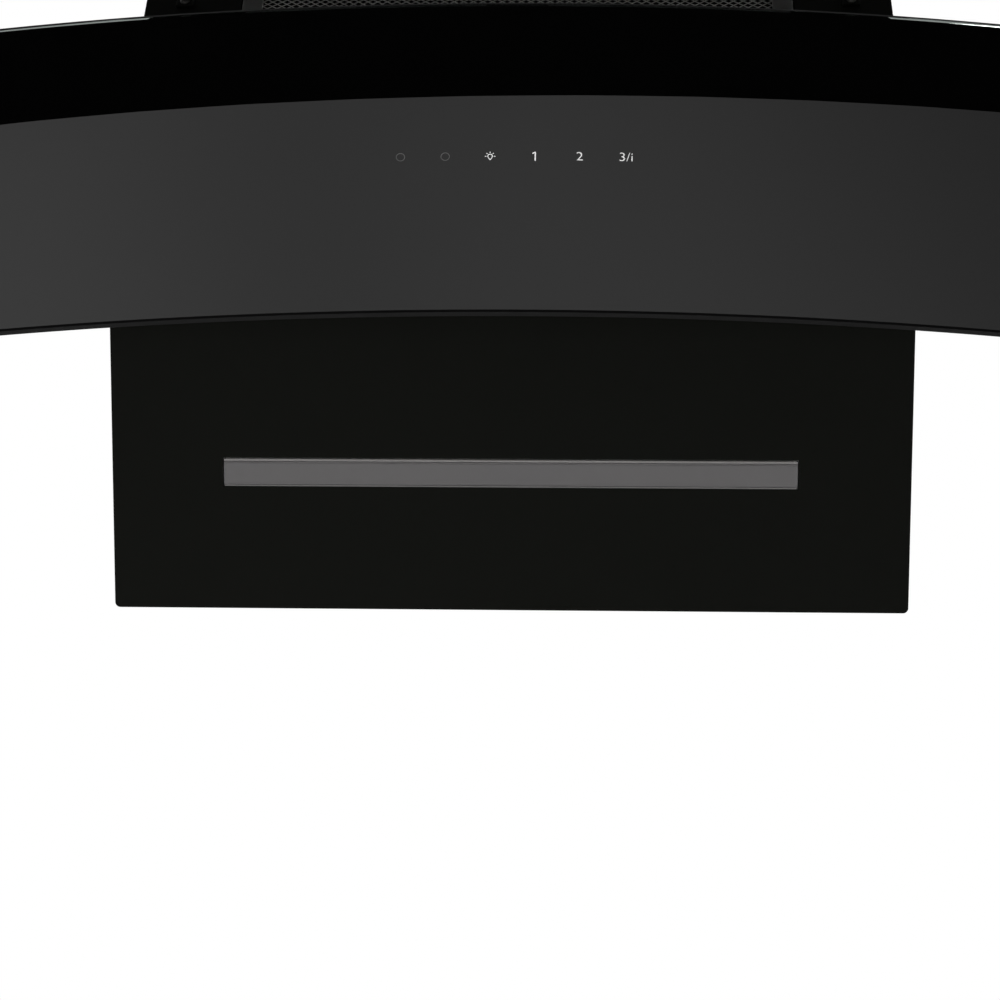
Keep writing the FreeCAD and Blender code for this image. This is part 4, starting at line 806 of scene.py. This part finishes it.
world = bpy.data.worlds.new("studio")
bpy.context.scene.world = world
world.use_nodes = True
tree = world.node_tree
seen = add(tree, "ShaderNodeLightPath")
direct = add(tree, "ShaderNodeMath", None,
             {0: seen.outputs["Is Camera Ray"], 1: seen.outputs["Is Glossy Ray"]}, operation="MAXIMUM")
direct = add(tree, "ShaderNodeMath", None,
             {0: direct.outputs[0], 1: seen.outputs["Is Transmission Ray"]}, operation="MAXIMUM")
strength = add(tree, "ShaderNodeMapRange", {"To Min": AMBIENT, "To Max": 1.0}, {"Value": direct.outputs[0]})
tree.links.new(strength.outputs["Result"], tree.nodes["Background"].inputs["Strength"])
tree.nodes["Background"].inputs["Color"].default_value = (1, 1, 1, 1)


def soft_lamp(name, place, aim, wide, tall, power, spread=math.pi):
    """Soft lamp that looks at a point and that the camera doesn't see."""
    lamp = bpy.data.lights.new(name, "AREA")
    lamp.shape = "RECTANGLE"
    lamp.size = wide
    lamp.size_y = tall
    lamp.energy = power
    lamp.spread = spread
    holder = bpy.data.objects.new(name, lamp)
    bpy.context.scene.collection.objects.link(holder)
    holder.visible_camera = False
    holder.location = place
    holder.rotation_euler = (Vector(aim) - Vector(place)).to_track_quat("-Z", "Y").to_euler()


soft_lamp("lamp_floor", (-1.4, -2.3, -0.55), (-1.4, -2.3, -1.9), wide=3.4, tall=1.2, power=16)
soft_lamp("lamp_front", (0, -2.6, -0.7), HOOD_MIDDLE, wide=5.0, tall=0.5, power=4)
soft_lamp("lamp_left", (-2.6, 0.75, 0.9), HOOD_MIDDLE, wide=1.6, tall=1.6, power=21, spread=BEAM)
soft_lamp("lamp_right", (2.6, 0.8, 1.0), HOOD_MIDDLE, wide=1.6, tall=1.6, power=24, spread=BEAM)
soft_lamp("lamp_back", (0.9, 2.6, 2.2), (-0.1, 0, 0.2), wide=1.8, tall=1.8, power=45, spread=BEAM)

# Camera: low in front of the hood and a little to the right, looking up at it.
# Its place, tilt and lens give the photograph's view of the lower panel and the glass.

CAMERA_PLACE = Vector((44.8, -1281.3, -1187.2)) * MM
CAMERA_PITCH = math.radians(35.464)
CAMERA_TURN = math.radians(2.434)  # to the left
CAMERA_ROLL = math.radians(1.776)
CAMERA_LENS = 72  # mm, on a sensor 36 mm wide

camera = bpy.data.objects.new("camera", bpy.data.cameras.new("camera"))
camera.data.sensor_width = 36
camera.data.lens = CAMERA_LENS
bpy.context.scene.collection.objects.link(camera)
camera.matrix_world = (Matrix.Translation(CAMERA_PLACE) @ Matrix.Rotation(CAMERA_TURN, 4, "Z")
                       @ Matrix.Rotation(math.pi / 2 + CAMERA_PITCH, 4, "X")
                       @ Matrix.Rotation(CAMERA_ROLL, 4, "Z"))
bpy.context.scene.camera = camera
